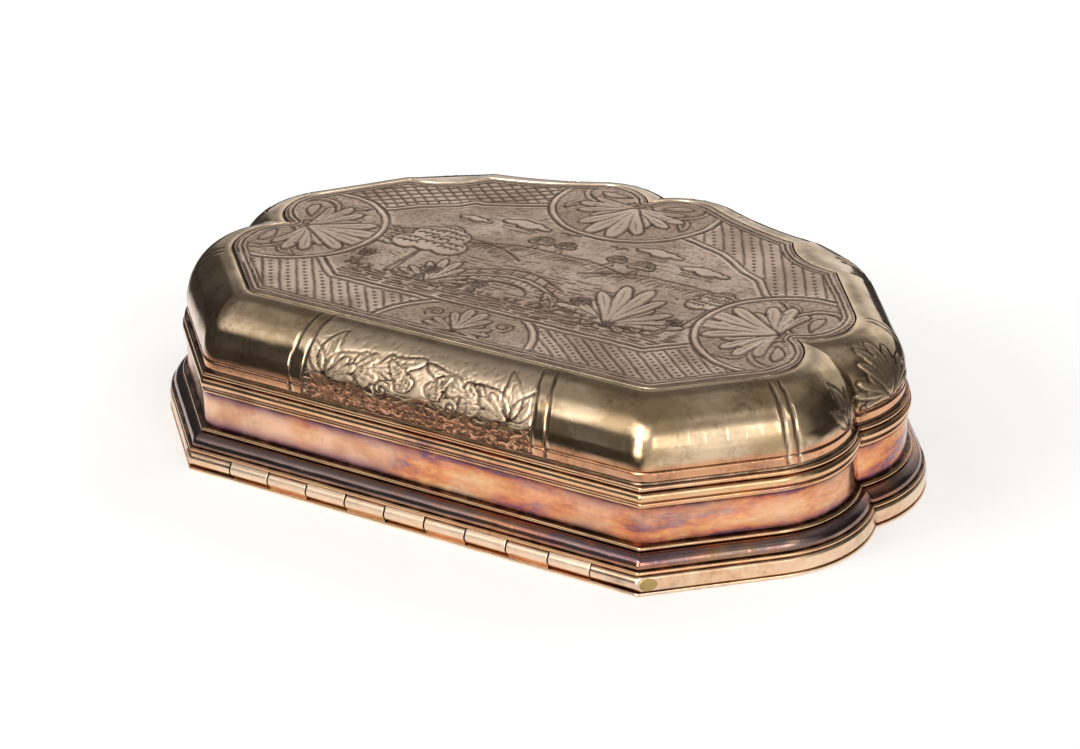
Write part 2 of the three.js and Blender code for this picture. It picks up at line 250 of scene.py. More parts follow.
# Sections: each point is an offset, a height, a darkening of dirt and painted shade, a brightening
# of wear and painted highlight, and sometimes stain

def flat(points, groove=0.0, polish=0.0):
    return [[*point, groove, polish] for point in points]


def bead(offset, bottom, out, radius, degrees, dirt_and_shade, shine):
    """A rounded stretch, dirty and painted with shade in its creases, worn and painted with a
    highlight along its top.
    """
    points = []
    for angle in np.radians(degrees):
        groove = dirt_and_shade[0] * abs(math.sin(angle)) ** dirt_and_shade[1]
        polish = shine[0] * max(0.0, math.cos(angle - shine[1])) ** shine[2]
        points.append([offset + out * math.cos(angle), bottom + radius * (1 + math.sin(angle)),
                       groove, polish])
    return points


def section_rows(section, counts, ease=0.0):
    """The places of a section swept round the plan, row by row."""
    rows = []
    for offset, z, *_ in section:
        ring = plan_ring(offset, counts, ease)
        rows.append(np.column_stack([ring, np.full(len(ring), z)]))
    return np.array(rows)


def section_masks(section, columns):
    """What each point of a section carries after its place, as masks over the sweep."""
    values = np.array([[*point, 0.0][:5] for point in section])
    return {
        name: np.repeat(values[:, part:part + 1], columns, axis=1)
        for name, part in (("groove", 2), ("polish", 3), ("stain", 4))
    }


def ripple(places, amount):
    """Slow unevenness of hand-raised metal, from a few crossing waves."""
    x, y, z = places[..., 0], places[..., 1], places[..., 2]
    waves = np.sin(0.61 * x + 0.37 * y + 1.1 * z) + np.sin(-0.43 * x + 0.83 * y - 0.7 * z + 2.1)
    waves += 0.6 * np.sin(1.37 * x + 1.13 * y + 0.9 * z)
    return amount * waves / 2.6


def outward(places):
    """Unit normals of a swept grid of places, away from the metal."""
    round_way = np.roll(places, -1, axis=1) - np.roll(places, 1, axis=1)
    normal = np.cross(round_way, np.gradient(places, axis=0))
    return normal / np.maximum(np.linalg.norm(normal, axis=2, keepdims=True), 1e-9)


# Meshes

def to_frame(place):
    return Vector((place[0] * MM, (place[1] + PLAN_SHIFT_Y) * MM, place[2] * MM))


def new_object(name, data):
    made = bpy.data.objects.new(name, data)
    bpy.context.scene.collection.objects.link(made)
    return made


def as_piece(shape, name, body, metal, node, sharp):
    """Makes a bmesh a piece of the box that rides on a body and stands for a node."""
    bmesh.ops.recalc_face_normals(shape, faces=shape.faces)
    mesh = bpy.data.meshes.new(name)
    shape.to_mesh(mesh)
    shape.free()
    mesh.shade_smooth()
    mesh.set_sharp_from_angle(angle=math.radians(sharp))
    mesh.materials.append(bpy.data.materials[metal])
    piece = new_object(name, mesh)
    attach(piece, body)
    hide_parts(node)


def add_masks(shape, names):
    return {name: shape.verts.layers.float.new(name) for name in names}


def extruded(shape, edges):
    """Extrudes open edges once; gives the new vertices and the new open edges."""
    made = bmesh.ops.extrude_edge_only(shape, edges=edges)["geom"]
    verts = [item for item in made if isinstance(item, bmesh.types.BMVert)]
    fresh = set(verts)
    edges = [item for item in made
             if isinstance(item, bmesh.types.BMEdge) and fresh.issuperset(item.verts)]
    return verts, edges


def close_holes(shape):
    open_edges = [edge for edge in shape.edges if edge.is_boundary]
    bmesh.ops.holes_fill(shape, edges=open_edges, sides=0)


def ease_edges(shape, edges, offset):
    bmesh.ops.bevel(shape, geom=edges, offset=offset, affect="EDGES", segments=2, profile=0.5,
                    material=-1)


def swept(places, masks, ring=True, loop=True):
    """Extrudes a line of points row by row through its places, and closes what stays open."""
    rows, columns = places.shape[:2]
    shape = bmesh.new()
    column = shape.verts.layers.int.new("column")
    layers = add_masks(shape, masks)
    if ring:
        last = bmesh.ops.create_circle(shape, segments=columns, radius=1.0)["verts"]
    else:
        last = [shape.verts.new((at * MM, 0, 0)) for at in range(columns)]
        for pair in zip(last, last[1:]):
            shape.edges.new(pair)
    first, edges = list(last), list(shape.edges)
    for at, vert in enumerate(first):
        vert[column] = at
    for row in range(rows + loop):
        if row:
            last, edges = extruded(shape, edges)
        for vert in last:
            spot = row % rows, vert[column]
            vert.co = to_frame(places[spot])
            for name, layer in layers.items():
                vert[layer] = float(masks[name][spot])
    if loop:
        bmesh.ops.remove_doubles(shape, verts=first + last, dist=1e-7)
    if not (ring and loop):
        close_holes(shape)
    shape.verts.layers.int.remove(shape.verts.layers.int["column"])
    return shape


def moulding(name, node, section, metal, spacing, sharp, uneven=0.012, ease=0.3, body="case",
             loop=True):
    """A ring of moulding with a finished section."""
    places = section_rows(section, stretch_counts(spacing), ease)
    masks = section_masks(section, places.shape[1])
    places = places + outward(places) * (ripple(places, uneven) - uneven)[..., None]
    as_piece(swept(places, masks, loop=loop), name, body, metal, node, sharp)


# Engraving on a grid of places

EVERYWHERE = (slice(None), slice(None))


def line_at(gap, place, width, depth=1.0):
    """A groove where a distance field passes through a value."""
    return np.clip(1.15 - ((gap - place) / (width / 2)) ** 2, 0, 1) * depth


def from_line(x, y, start, way):
    """How far along a straight line places lie, from 0 to 1, and how far off it."""
    share = np.clip(
        ((x - start[0]) * way[0] + (y - start[1]) * way[1]) / max(way @ way, 1e-12), 0, 1
    )
    return share, np.hypot(x - start[0] - share * way[0], y - start[1] - share * way[1])


def walk(base, angles, steps):
    """The path of steps taken from a base, and the ways to its left."""
    way = np.column_stack([np.cos(angles), np.sin(angles)])
    return np.asarray(base, float) + np.cumsum(way * steps, 0), way[:, ::-1] * (-1, 1)


def bent_leaf(base, heading, length, curl, share, half):
    """The spine of a bent leaf and its two edges."""
    steps = length * np.diff(share, prepend=0)[:, None]
    spine, left = walk(base, np.radians(heading + curl * share), steps)
    return spine, spine + left * half[:, None], spine - left * half[:, None]


def lobe(base, heading, length, width, curl=0.0):
    """The spine and the closed outline of a lobe with a round tip."""
    share = np.sin(np.linspace(0, np.pi / 2, 14))
    half = width / 2 * (share ** 0.6 * np.sqrt(1 - share ** 5))
    spine, left, right = bent_leaf(base, heading, length, curl, share, half)
    return spine, np.vstack([left, right[::-1]])


class Engraving:
    """Cuts, raised leaves and stippled ground on a flat grid, row by row."""

    def __init__(self, across, along):
        self.across, self.along = across, along
        x, y = np.meshgrid(across, along)
        self.x = x + 0.05 * np.sin(0.83 * y + 0.4 * x) + 0.03 * np.sin(2.3 * y - 1.7 * x)
        self.y = y + 0.05 * np.sin(0.71 * x - 0.5 * y) + 0.03 * np.sin(2.6 * x + 1.3 * y)
        self.depth, self.leaf, self.ground, self.ridge, self.matt = np.zeros((5, *x.shape))
        self.where = None
        self.dice = np.random.default_rng(17)

    def window(self, points, reach):
        low, high = points.min(0) - reach - 0.18, points.max(0) + reach + 0.18
        columns = slice(*np.searchsorted(self.across, [low[0], high[0]]))
        rows = slice(*np.searchsorted(self.along, [low[1], high[1]]))
        return rows, columns

    def allowed(self, part):
        return 1.0 if self.where is None else self.where[part]

    def press(self, part, values, layer="depth"):
        """Brings a layer up to new values, where engraving is allowed."""
        held = getattr(self, layer)
        held[part] = np.maximum(held[part], values * self.allowed(part))

    def cut(self, points, width=0.2, depth=1.0, taper=False):
        """A groove along a line of points."""
        points = np.asarray(points, float)
        share = np.linspace(0, 1, len(points))
        for number in range(len(points) - 1):
            start, end = points[number:number + 2]
            part = self.window(points[number:number + 2], width)
            if not self.x[part].size:
                continue
            t, gap = from_line(self.x[part], self.y[part], start, end - start)
            wide, strength = width, depth
            if taper:
                at = share[number] + t * (share[1] - share[0])
                swell = np.sin(np.pi * np.clip(at, 0.04, 0.96)) ** 0.6
                wide = width * swell + 0.06
                strength = depth * (0.35 + 0.65 * swell)
            self.press(part, line_at(gap, 0, wide, strength))

    def stroke(self, x, y, run, rise, width, depth, taper=True):
        self.cut([(x, y), (x + run, y + rise)], width, depth, taper)

    def dot(self, x, y, radius, depth):
        part = self.window(np.array([[x, y]]), radius * 1.5)
        gap = np.hypot(self.x[part] - x, self.y[part] - y)
        self.press(part, np.clip(1.2 - (gap / radius) ** 2, 0, 1) * depth)

    def inside(self, outline, part=EVERYWHERE):
        """Distance inside a closed outline, negative outside."""
        x, y = self.x[part], self.y[part]
        outline = np.asarray(outline, float)
        crossed = np.zeros(x.shape, bool)
        nearest = np.full(x.shape, 1e9)
        for start, end in zip(outline, np.roll(outline, -1, axis=0)):
            way = end - start
            nearest = np.minimum(nearest, from_line(x, y, start, way)[1])
            if way[1]:
                spans = (start[1] > y) != (end[1] > y)
                crossed ^= spans & (x < start[0] + (y - start[1]) * way[0] / way[1])
        return nearest * np.where(crossed, 1.0, -1.0)

    def mass(self, outlines, line):
        """Raises shapes that overlap as one, and cuts one line round them all."""
        part = self.window(np.vstack(outlines), 0.6)
        gap = np.max([self.inside(outline, part) for outline in outlines], axis=0)
        shape = np.clip(gap / 0.2 + 0.4, 0, 1) * self.allowed(part)
        self.depth[part] *= 1 - shape
        self.leaf[part] = self.leaf[part] * (1 - shape) + shape
        self.press(part, line_at(gap, -0.05, line))

    def raise_leaf(self, outline):
        part = self.window(outline, 0.4)
        self.press(part, np.clip(self.inside(outline, part) / 0.2 + 0.5, 0, 1), "leaf")

    def leaf_blade(self, base, heading, length, width, curl=0.0, line=0.2, veins=1):
        """A pointed leaf with a bent midrib and cut edges."""
        share = np.linspace(0, 1, 12)
        half = width / 2 * np.sin(np.pi * share ** 0.75)
        spine, left, right = bent_leaf(base, heading, length, curl, share, half)
        self.raise_leaf(np.vstack([left, right[::-1]]))
        self.cut(left, line)
        self.cut(right, line)
        if veins:
            self.cut(spine[1:-2], line * 0.75, 0.8, taper=True)
        for side in (left, right) if veins > 1 else ():
            self.cut((spine * 2 + side)[2:-3] / 3, line * 0.6, 0.55, taper=True)

    def lobed_leaf(self, base, heading, length, width, lobes=3, curl=0.0, line=0.26):
        """An acanthus leaf: round lobes in pairs along a midrib, cut round as one."""
        spine, middle = lobe(base, heading, length, width * 0.5, curl)
        outlines, ribs, pits = [middle], [spine[:-4]], []
        for number in range(lobes):
            share = 0.06 + 0.6 * number / lobes
            at = spine[round(math.asin(share) / (math.pi / 2) * (len(spine) - 1))]
            reach = width * (0.64 - 0.2 * number / lobes)
            for side in (1, -1):
                turn = heading + curl * share + (56 - 8 * number) * side
                rib, outline = lobe(at, turn, reach, reach * 0.78, -26 * side)
                outlines.append(outline)
                ribs.append(rib[2:-5])
                pits.append(at + heading_way(turn - 34 * side) * reach * 0.62)
        self.mass(outlines, line)
        for rib in ribs:
            self.cut(rib, line * 0.7, 0.85, taper=True)
        for pit in pits:
            self.dot(*pit, line * 0.62, 0.9)

    def fan_leaf(self, base, heading, reach, opening, petals=3, curl=0.0, line=0.26):
        """A leaf that opens like a fan into round lobes, cut round as one."""
        outlines, ribs, seams = [], [], []
        step = opening / petals
        for number in range(petals):
            off = number - (petals - 1) / 2
            length = reach * (1 - 0.3 * (2 * off / petals) ** 2)
            wide = 2.7 * length * math.sin(math.radians(step / 2))
            bend = curl + 12 * off
            rib, outline = lobe(base, heading + off * step, length, wide, bend)
            outlines.append(outline)
            ribs.append(rib[4:-4])
            if number:
                turn = heading + (off - 0.5) * step
                seams.append(lobe(base, turn, reach * 0.72, 0.1, bend - 6)[0])
        self.mass(outlines, line)
        for seam in seams:
            self.cut(seam[2:], line * 0.6, 0.75, taper=True)
            self.dot(*seam[-1], line * 0.85, 1.0)
        for rib in ribs:
            self.cut(rib, line * 0.5, 0.5, taper=True)

    def palmette(self, base, heading, reach, fan=54, line=0.26):
        """Three such leaves from one point, the tallest in the middle."""
        for turn, share, curl in ((-fan, 0.74, -24), (fan, 0.74, 24), (0, 1.0, 0)):
            self.fan_leaf(base, heading + turn, reach * share, fan * 0.92, 4, curl, line)
        self.dot(*base, 0.5, 0.9)

    def eye(self, centre, heading, length, width):
        """An oval hollow with a raised rim painted with a highlight, and a small curl inside it."""
        turn = np.radians(np.arange(0, 360, 15))
        outline = (
            centre + np.outer(np.cos(turn), heading_way(heading)) * length / 2
            + np.outer(np.sin(turn), heading_way(heading + 90)) * width / 2
        )
        part = self.window(outline, 1.2)
        gap = self.inside(outline, part)
        clear = 1 - np.clip(gap / 0.2 + 1, 0, 1) * self.allowed(part)
        self.depth[part] *= clear
        self.leaf[part] *= clear
        self.press(part, np.clip(gap / 0.8, 0, 1), "ground")
        self.press(part, line_at(gap, 0.0, 0.34))
        self.press(part, line_at(gap, -0.85, 0.238, 0.8))
        self.press(part, line_at(gap, -0.42, 0.55, 0.9), "ridge")
        self.leaf_blade(outline[0] * 0.8 + outline[12] * 0.2, heading + 168, length * 0.62,
                        width * 0.3, curl=44, line=0.238, veins=0)

    def scroll(self, base, heading, radius, hand, line=0.24):
        """A line that curls in on itself, and its lighter companion."""
        steps = 46
        length = 2 * math.pi * radius * 1.25 * 0.62 / steps
        radii = radius * (1 - 0.72 * np.linspace(0, 1, steps))
        path, left = walk(base, math.radians(heading) + hand * np.cumsum(length / radii), length)
        self.cut(path, line)
        self.cut((path + left * hand * 0.55)[:34], line * 0.6, 0.7, taper=True)

    def scroll_pair(self, x, y, spread, radius, line):
        """Two scrolls that mirror each other."""
        for hand in (-1, 1):
            self.scroll((x + spread * hand, y), 90 - 40 * hand, radius, -hand, line)

    def flower(self, x, y, turn):
        for number in range(6):
            self.leaf_blade((x, y), turn + 60 * number, 1.2, 0.9, line=0.24, veins=0)
        self.dot(x, y, 1.2 * 0.28, 1.0)

    def tree(self, x, y, height, spread, line):
        """A trunk under a crown of rounded clumps, each with scalloped strokes."""
        for foot, top in ((-0.5, -0.16), (0.5, 0.2)):
            self.cut([(x + foot, y), (x + top, y + height * 0.3), (x + top, y + height * 0.6)],
                     line)
        clumps = [
            (x + spread * across, y + height * 0.7 + height * up, spread * size)
            for across, up, size in (
                (-0.55, -0.08, 0.42), (0.55, -0.06, 0.42), (0.0, -0.02, 0.5),
                (-0.32, 0.13, 0.42), (0.34, 0.14, 0.4), (0.02, 0.24, 0.36),
            )
        ]
        self.mass([disc(*clump) for clump in clumps], line)
        bend = np.radians(np.linspace(10, 170, 7))
        for across, up, radius in clumps:
            for level, reach in ((0.35, 0.75), (-0.2, 0.85)):
                for place in (-0.5, 0.0, 0.5):
                    self.cut(np.column_stack([
                        across + radius * (place * reach + 0.24 * np.cos(bend)),
                        up + radius * (level + 0.26 * np.sin(bend)),
                    ]), line * 0.8, 0.9)

    def off_lines(self, way, spacing, shift=0.0):
        """How far each place lies from the nearest of evenly spaced lines across a way."""
        run = (self.x * way[0] + self.y * way[1]) / spacing - shift
        return (run - np.round(run)) * spacing

    def hatch(self, region, heading, spacing, width):
        gap = self.off_lines(heading_normal(heading), spacing)
        self.depth = np.maximum(self.depth, line_at(gap, 0, width, 0.8) * region)

    def beading(self, region, heading, spacing, step, radius):
        """Rows of dots half way between such lines."""
        gap = np.hypot(self.off_lines(heading_normal(heading), spacing, 0.5),
                       self.off_lines(heading_way(heading), step))
        self.depth = np.maximum(self.depth, line_at(gap, 0, 2 * radius, 0.85) * region)

    def stipple(self, region, share, depth):
        """Small punched pits over the ground between the leaves."""
        pits = (self.dice.random(self.x.shape) < share) * depth * region
        self.depth = np.maximum(self.depth, pits * (1 - self.leaf))
        self.ground = np.maximum(self.ground, region * (1 - self.leaf))

    def rule(self, gap, region, lines, ridges):
        """Grooves, and the burrs beside them painted as bright highlights, at given places of a
        distance field.
        """
        for place, width, depth in lines:
            self.depth = np.maximum(self.depth, line_at(gap, place, width, depth) * region)
        for place in ridges:
            self.ridge = np.maximum(self.ridge, line_at(gap, place, 0.5, 0.9) * region)


# What is engraved where

PLATE_FRAME = [
    (-21.0, -11.0), (21.4, -11.0), (25.1, -7.4), (30.0, -2.0), (30.0, 6.0), (26.0, 9.0),
    (23.5, 12.3), (20.9, 13.6), (17.6, 16.1), (15.9, 17.3), (9.6, 19.4), (0.0, 22.0),
    (-10.1, 20.3), (-17.2, 16.5), (-18.4, 16.5), (-20.1, 14.4), (-23.9, 11.9),
    (-26.0, 9.8), (-30.0, 6.0), (-30.0, -2.0), (-25.1, -7.4),
]
FRONT_LINE_Y = -11.0
BORDER = 1.35
SHOULDER_PANEL = 15.2

# Centre and radius, heading of the palmette, its reach
MEDALLIONS = (
    ((34.2, 0.0, 11.3), 180, 10.8), ((-34.2, 0.0, 11.3), 0, 10.8),
    ((0.0, 25.4, 11.3), 270, 10.6), ((0.0, -19.9, 10.9), 90, 6.2),
)


def engrave_medallions(work, inner):
    """Double rims, hollows and palmettes; gives how far outside the rims each place lies."""
    outside = np.full(work.x.shape, 1e9)
    stops = plan_corners(PLATE_EDGE)[0]
    regions = []
    for (cx, cy, radius), heading, reach in MEDALLIONS:
        at_front = heading == 90
        gap = np.hypot(work.x - cx, work.y - cy) - radius
        held = inner * (work.y < FRONT_LINE_Y - 0.5) if at_front else inner
        work.rule(gap, held, [(0.0, 0.36, 1.0), (-0.95, 0.24, 0.85)], (-0.48, 0.45))
        outside = np.minimum(outside, np.where(held > 0, gap, 1e9))
        work.where = held * smoothstep(-gap, 1.1, 1.25)
        regions.append(work.where)
        if at_front:
            for side in (1, -1):
                work.scroll((cx + 5.2 * side, -15.4), 90 - 60 * side, 1.5, side)
            work.palmette((cx, -17.6), heading, reach, 60)
            continue
        notch = stops["back_notch"] if cy else stops["end_notch"]
        base = np.array([math.copysign(notch[0], cx), notch[1]]) + heading_way(heading) * 2.1
        for side in (1, -1):
            centre = base + heading_way(heading + 116 * side) * 5.1
            work.eye(centre, heading + 100 * side, 7.0, 5.2)
            work.leaf_blade(base + heading_way(heading + 84 * side) * 6.8,
                            heading + 40 * side, 4.0, 1.6, curl=-30 * side, veins=2)
        work.palmette(base, heading, reach)
    work.where = None
    return outside, regions


def engrave_diapers(work, band):
    """Ruled lines with beading between the medallions, and lozenges in one quarter."""
    right, back = work.x > 0, work.y > 4
    for quarter, headings, spacing, width, beads in (
        (right & back, (-60,), 2.3, 0.32, (1.0, 0.25)),
        (~right & ~back, (-53,), 2.0, 0.32, (1.0, 0.24)),
        (right & ~back, (-41,), 1.55, 0.3, (0.85, 0.22)),
        (~right & back, (38, -38), 1.3, 0.32, ()),
    ):
        for heading in headings:
            work.hatch(band * quarter, heading, spacing, width)
        if beads:
            work.beading(band * quarter, headings[0], spacing, *beads)


def engrave_hills(work):
    """Foreground lines, hatched hills, water, far trees, and strokes over sky and land."""
    dice = work.dice
    for level, y in enumerate((-10.2, -9.5, -8.8, -8.1, -7.5)):
        x = -23.0 + level * 0.7
        while x < 23:
            run = dice.uniform(1.0, 3.4)
            lift = dice.uniform(-0.16, 0.16, 3)
            work.cut([(x, y + lift[0]), (x + run / 2, y + lift[1]), (x + run, y + lift[2])],
                     0.34, 0.95)
            x += run + dice.uniform(0.3, 1.1)
    share = np.linspace(0, 1, 22)
    for start, end, rise, y in ((-25, -4, 3.6, 3.4), (-12, 10, 2.6, 5.4), (4, 27, 3.6, 3.8)):
        hill = np.column_stack([
            start + (end - start) * share,
            y + rise * np.sin(np.pi * share) + 0.35 * np.sin(9 * share),
        ])
        work.cut(hill, 0.3)
        for at in range(1, 21):
            for step in (0.0, 0.5):
                lean, fall = dice.uniform(0.4, 1.3), dice.uniform(1.0, 2.6)
                work.stroke(*(hill[at] + (step, -0.3)), -lean, -fall, 0.22, 0.7)
    for y in np.arange(-5.6, 2.4, 0.8):
        x = -11 + dice.uniform(0, 2)
        while x < 9:
            run = dice.uniform(1.0, 3.4)
            work.stroke(x, y, run, dice.uniform(-0.12, 0.12), 0.22, 0.7, taper=False)
            x += run + dice.uniform(0.7, 2.6)
    for x, y, height, wide in ((-4.8, 7.4, 3.8, 1.7), (-1.4, 7.9, 3.2, 1.4), (9.6, 6.6, 4.0, 1.8),
                               (6.0, 7.6, 3.0, 1.3)):
        work.tree(x, y, height, wide, 0.22)
    for _ in range(150):
        x, y = dice.uniform(-28, 28), dice.uniform(8.4, 20)
        run = dice.uniform(0.6, 2.4)
        work.stroke(x, y, run, dice.uniform(-0.1, 0.1), 0.16, 0.45)
    for _ in range(170):
        x, y = dice.uniform(-27, 27), dice.uniform(-6.4, 6.2)
        run, drop = dice.uniform(0.4, 1.5), dice.uniform(-0.5, 0.1)
        if abs(x) > 10 or y > 2.6:
            work.stroke(x, y, run, drop, 0.2, 0.6)


def engrave_bridge(work):
    """A footbridge: an arch under a bowed deck with a railing."""
    share = np.linspace(0, 1, 16)
    deck = np.column_stack([-8.4 + 13.6 * share, -4.4 + 2.9 * np.sin(np.pi * share)])
    arch = np.column_stack([
        -1.6 + 3.6 * np.cos(np.pi * (1 - share)), -5.6 + 2.7 * np.sin(np.pi * share)
    ])
    work.raise_leaf(np.vstack([deck + (0, 0.9), arch[::-1]]))
    work.cut(arch, 0.36)
    for up, width in ((0, 0.3), (0.9, 0.3), (2.5, 0.26)):
        work.cut(deck + (0, up), width)
    for x, y in deck[::2]:
        work.stroke(x, y + 0.9, 0, 1.6, 0.24, 1.0, taper=False)
    for x, y in deck[1:-1]:
        work.stroke(x, y - 0.1, 0, -0.8, 0.18, 0.7, taper=False)


def engrave_landscape(work, field):
    """A wooded valley with a footbridge over a stream."""
    work.where = field
    engrave_hills(work)
    engrave_bridge(work)
    for tree in ((-22.8, -4.6, 9.4, 3.0, 0.28), (-16.4, -6.8, 14.6, 5.2, 0.3),
                 (22.6, -3.6, 10.4, 3.4, 0.28)):
        work.tree(*tree)
    for x, y, size in ((-9.2, 13.6, 2.6), (9.6, 13.8, 2.4), (17.0, 11.4, 2.4), (-15.8, 12.2, 1.7)):
        work.mass([disc(x + size * step, y + 0.14 * size * lift, size * wide, 0.5)
                   for step, lift, wide in ((-0.8, 0, 0.5), (-0.2, 1.2, 0.6), (0.45, 0.8, 0.5),
                                            (1.0, -0.4, 0.4), (0.1, -0.9, 0.6))], 0.28)
        for drop in (0.55, 0.85):
            work.stroke(x - size, y - drop * size, 1.8 * size, 0, 0.2, 0.7, taper=False)
    for x, y, wing in ((-2.8, 13.0, 1.3), (0.6, 14.6, 1.1), (4.4, 12.4, 1.2)):
        for side in (-1, 1):
            work.cut([(x + wing * side, y + 0.6), (x + 0.4 * wing * side, y + 0.75), (x, y)],
                     0.26)
    for base, heading, length, width, curl in (
        ((15.0, -7.3), 16, 8.4, 3.4, 14), ((13.0, -7.3), 164, 6.8, 3.0, -16),
        ((-9.8, -7.2), 24, 5.4, 2.6, 16), ((6.8, -7.2), 118, 5.0, 3.0, 20),
    ):
        work.lobed_leaf(base, heading, length, width, curl=curl)
    work.palmette((14.2, -7.6), 97, 11.6, 44, 0.3)
    work.palmette((-10.6, -7.4), 92, 7.2, 46)
    for x, y, lean, tall in ((-21.0, -7.2, 8, 4.0), (-12.6, -7.3, -14, 3.4), (9.6, -7.3, 12, 4.4),
                             (20.2, -7.2, -10, 4.2), (-4.2, -7.3, 6, 2.6)):
        tip = (x, y) + heading_way(90 + lean) * tall
        work.cut([(x, y), tip], 0.26)
        work.flower(*tip, lean)
        work.leaf_blade((x, y), 90 + 3 * lean, tall * 0.6, 0.8, curl=30, line=0.22)
    for x in np.arange(-22, 23, 1.7):
        x = x + work.dice.uniform(-0.5, 0.5)
        for lean in (-24, -4, 18):
            tip = heading_way(90 + lean) * work.dice.uniform(0.9, 1.7)
            work.stroke(x, -7.4, *tip, 0.24, 0.9)
    work.where = None


def engrave_plate(work, edge):
    """The whole design of the base plate; edge is the distance inside its outline."""
    inner = smoothstep(edge, BORDER, BORDER + 0.1)
    work.rule(edge, edge > 0, [(0.34, 0.2, 0.7), (0.92, 0.32, 1.0), (BORDER + 0.12, 0.24, 0.8)],
              (0.62, 1.2))
    outside, regions = engrave_medallions(work, inner)
    open_ground = inner * smoothstep(outside, 0.1, 0.3)
    frame_gap = work.inside(PLATE_FRAME)
    work.rule(frame_gap, open_ground, [(0.0, 0.38, 1.0), (-0.95, 0.24, 0.8)], (-0.48, 0.46))
    field = open_ground * smoothstep(frame_gap, 0.6, 0.75)
    engrave_diapers(work, open_ground * smoothstep(-frame_gap, 1.15, 1.3))
    engrave_landscape(work, field)
    work.stipple(field, 0.1, 0.4)
    for region in regions:
        work.stipple(region, 0.12, 0.42)
        work.ground = np.maximum(work.ground, 0.75 * region * (1 - work.leaf))
    work.ground = np.minimum(work.ground, np.where(field > 0.5, 0.5, 1.0))


def strew_ticks(work, count, heights, turns, halves, width, depth, taper=False):
    """Short strokes strewn over the front panel."""
    for _ in range(count):
        x, y = (work.dice.uniform(*ends)
                for ends in ((-SHOULDER_PANEL, SHOULDER_PANEL), heights))
        way = heading_way(work.dice.uniform(*turns)) * work.dice.uniform(*halves)
        work.cut([(x, y) - way, (x, y) + way], width, depth, taper)


def engrave_front_panel(work):
    """The front panel: foliage over a pricked strip."""
    inside = (np.abs(work.x) < SHOULDER_PANEL - 0.3) * 1.0
    line = 3.0 + 0.35 * np.sin(work.x * 1.3) + 0.3 * np.sin(work.x * 0.47 + 1)
    work.where = inside
    low, high = smoothstep(work.y, 3.0, 3.6), smoothstep(work.along[-1] - work.y, 0.8, 2.0)
    work.matt = inside * low * high
    for base, heading, length, width, curl in (
        ((-8.6, 4.9), 14, 9.6, 4.2, 10), ((8.8, 4.6), 166, 8.8, 4.0, -12),
        ((-1.2, 3.9), 124, 4.4, 2.6, 20), ((1.6, 3.9), 58, 4.2, 2.4, -20),
    ):
        work.lobed_leaf(base, heading, length, width, lobes=5, curl=curl, line=0.3)
    for x, hand in ((-12.5, 1), (12.4, -1)):
        for lean, long, wide in ((-46, 4.6, 2.2), (46, 6.2, 2.7), (-4, 6.0, 2.6)):
            work.leaf_blade((x, 3.7), 90 - lean * hand, long, wide, curl=-24 * hand, line=0.28,
                            veins=2)
        work.fan_leaf((x + 0.3 * hand, 3.5), 90 - 74 * hand, 4.4, 44, curl=16 * hand)
    for side in (-1, 1):
        work.scroll((-3.4 * side, 4.1), 90 + 40 * side, 1.4, side, 0.3)
        for at in range(8):
            work.stroke(side * (3.2 + 0.62 * at), 8.4 - 0.16 * at, 0.7 * side, -1.3, 0.22, 0.8)
    for x in np.arange(7.6, 11.0, 0.42):
        for start in (x, -x - 0.9):
            work.stroke(start, 3.5, 0.9, 0.9, 0.18, 0.7, taper=False)
    strew_ticks(work, 240, (3.6, 9.6), (40, 80), (0.2, 0.6), 0.16, 0.5, taper=True)
    bottom = inside * smoothstep(line - work.y, 0.0, 0.2) * smoothstep(work.y, 0.2, 0.35)
    work.where = bottom
    strew_ticks(work, 420, (0.2, 3.4), (0, 180), (0.15, 0.35), 0.32, 0.75)
    work.where = None
    work.depth = np.maximum(work.depth, line_at(work.y, line, 0.26, 0.9) * inside)
    work.ground = np.maximum(work.ground, bottom)


def engrave_shoulder(work, lobes):
    """Panels of foliage round the shoulder; x runs round the box and y up from the foot."""
    height = work.along[-1]
    engrave_front_panel(work)
    pair, notch, far_end, petal, back, back_lobe = lobes

    def uprights(side, place, gap, lean=0.0, top=0.9):
        """Two rules up the shoulder."""
        tall = smoothstep(work.y, 0.2, 0.4) * smoothstep(height - top - work.y, 0, 0.2)
        for x in (place, place + gap):
            work.rule(work.x - side * x + side * lean * work.y / height, tall,
                      [(0.0, 0.34, 1.0)], (0.36,))

    for side in (-1, 1):
        uprights(side, SHOULDER_PANEL, 1.75, top=0.5)
        uprights(side, pair, 1.3, 0.8)
        uprights(side, far_end, 1.2)
        uprights(side, back, 1.2)
        middle = (pair + notch) / 2 + 1.6
        for lean, long, wide in ((34, 5.2, 1.7), (6, 6.6, 1.9), (-22, 4.6, 1.6)):
            work.leaf_blade((side * (middle + 1.2), 1.6), 90 + lean * side, long, wide,
                            curl=22 * side, line=0.24)
        middle = side * ((notch + far_end) / 2 - 0.6)
        work.palmette((middle, 1.8), 90 + 4 * side, 7.8, 46)
        work.scroll_pair(middle, 2.6, 3.6, 1.3, 0.26)
        work.palmette((side * petal, 3.2), 90, 5.6, 48, 0.3)
        middle = side * ((petal + back) / 2 + 1.0)
        work.fan_leaf((middle, 2.8), 90, 6.0, 56, curl=16 * side, line=0.3)
        work.palmette((side * back_lobe, 3.0), 90, 6.8, 50, 0.3)
        work.scroll_pair(side * back_lobe, 3.4, 3.0, 1.7, 0.32)
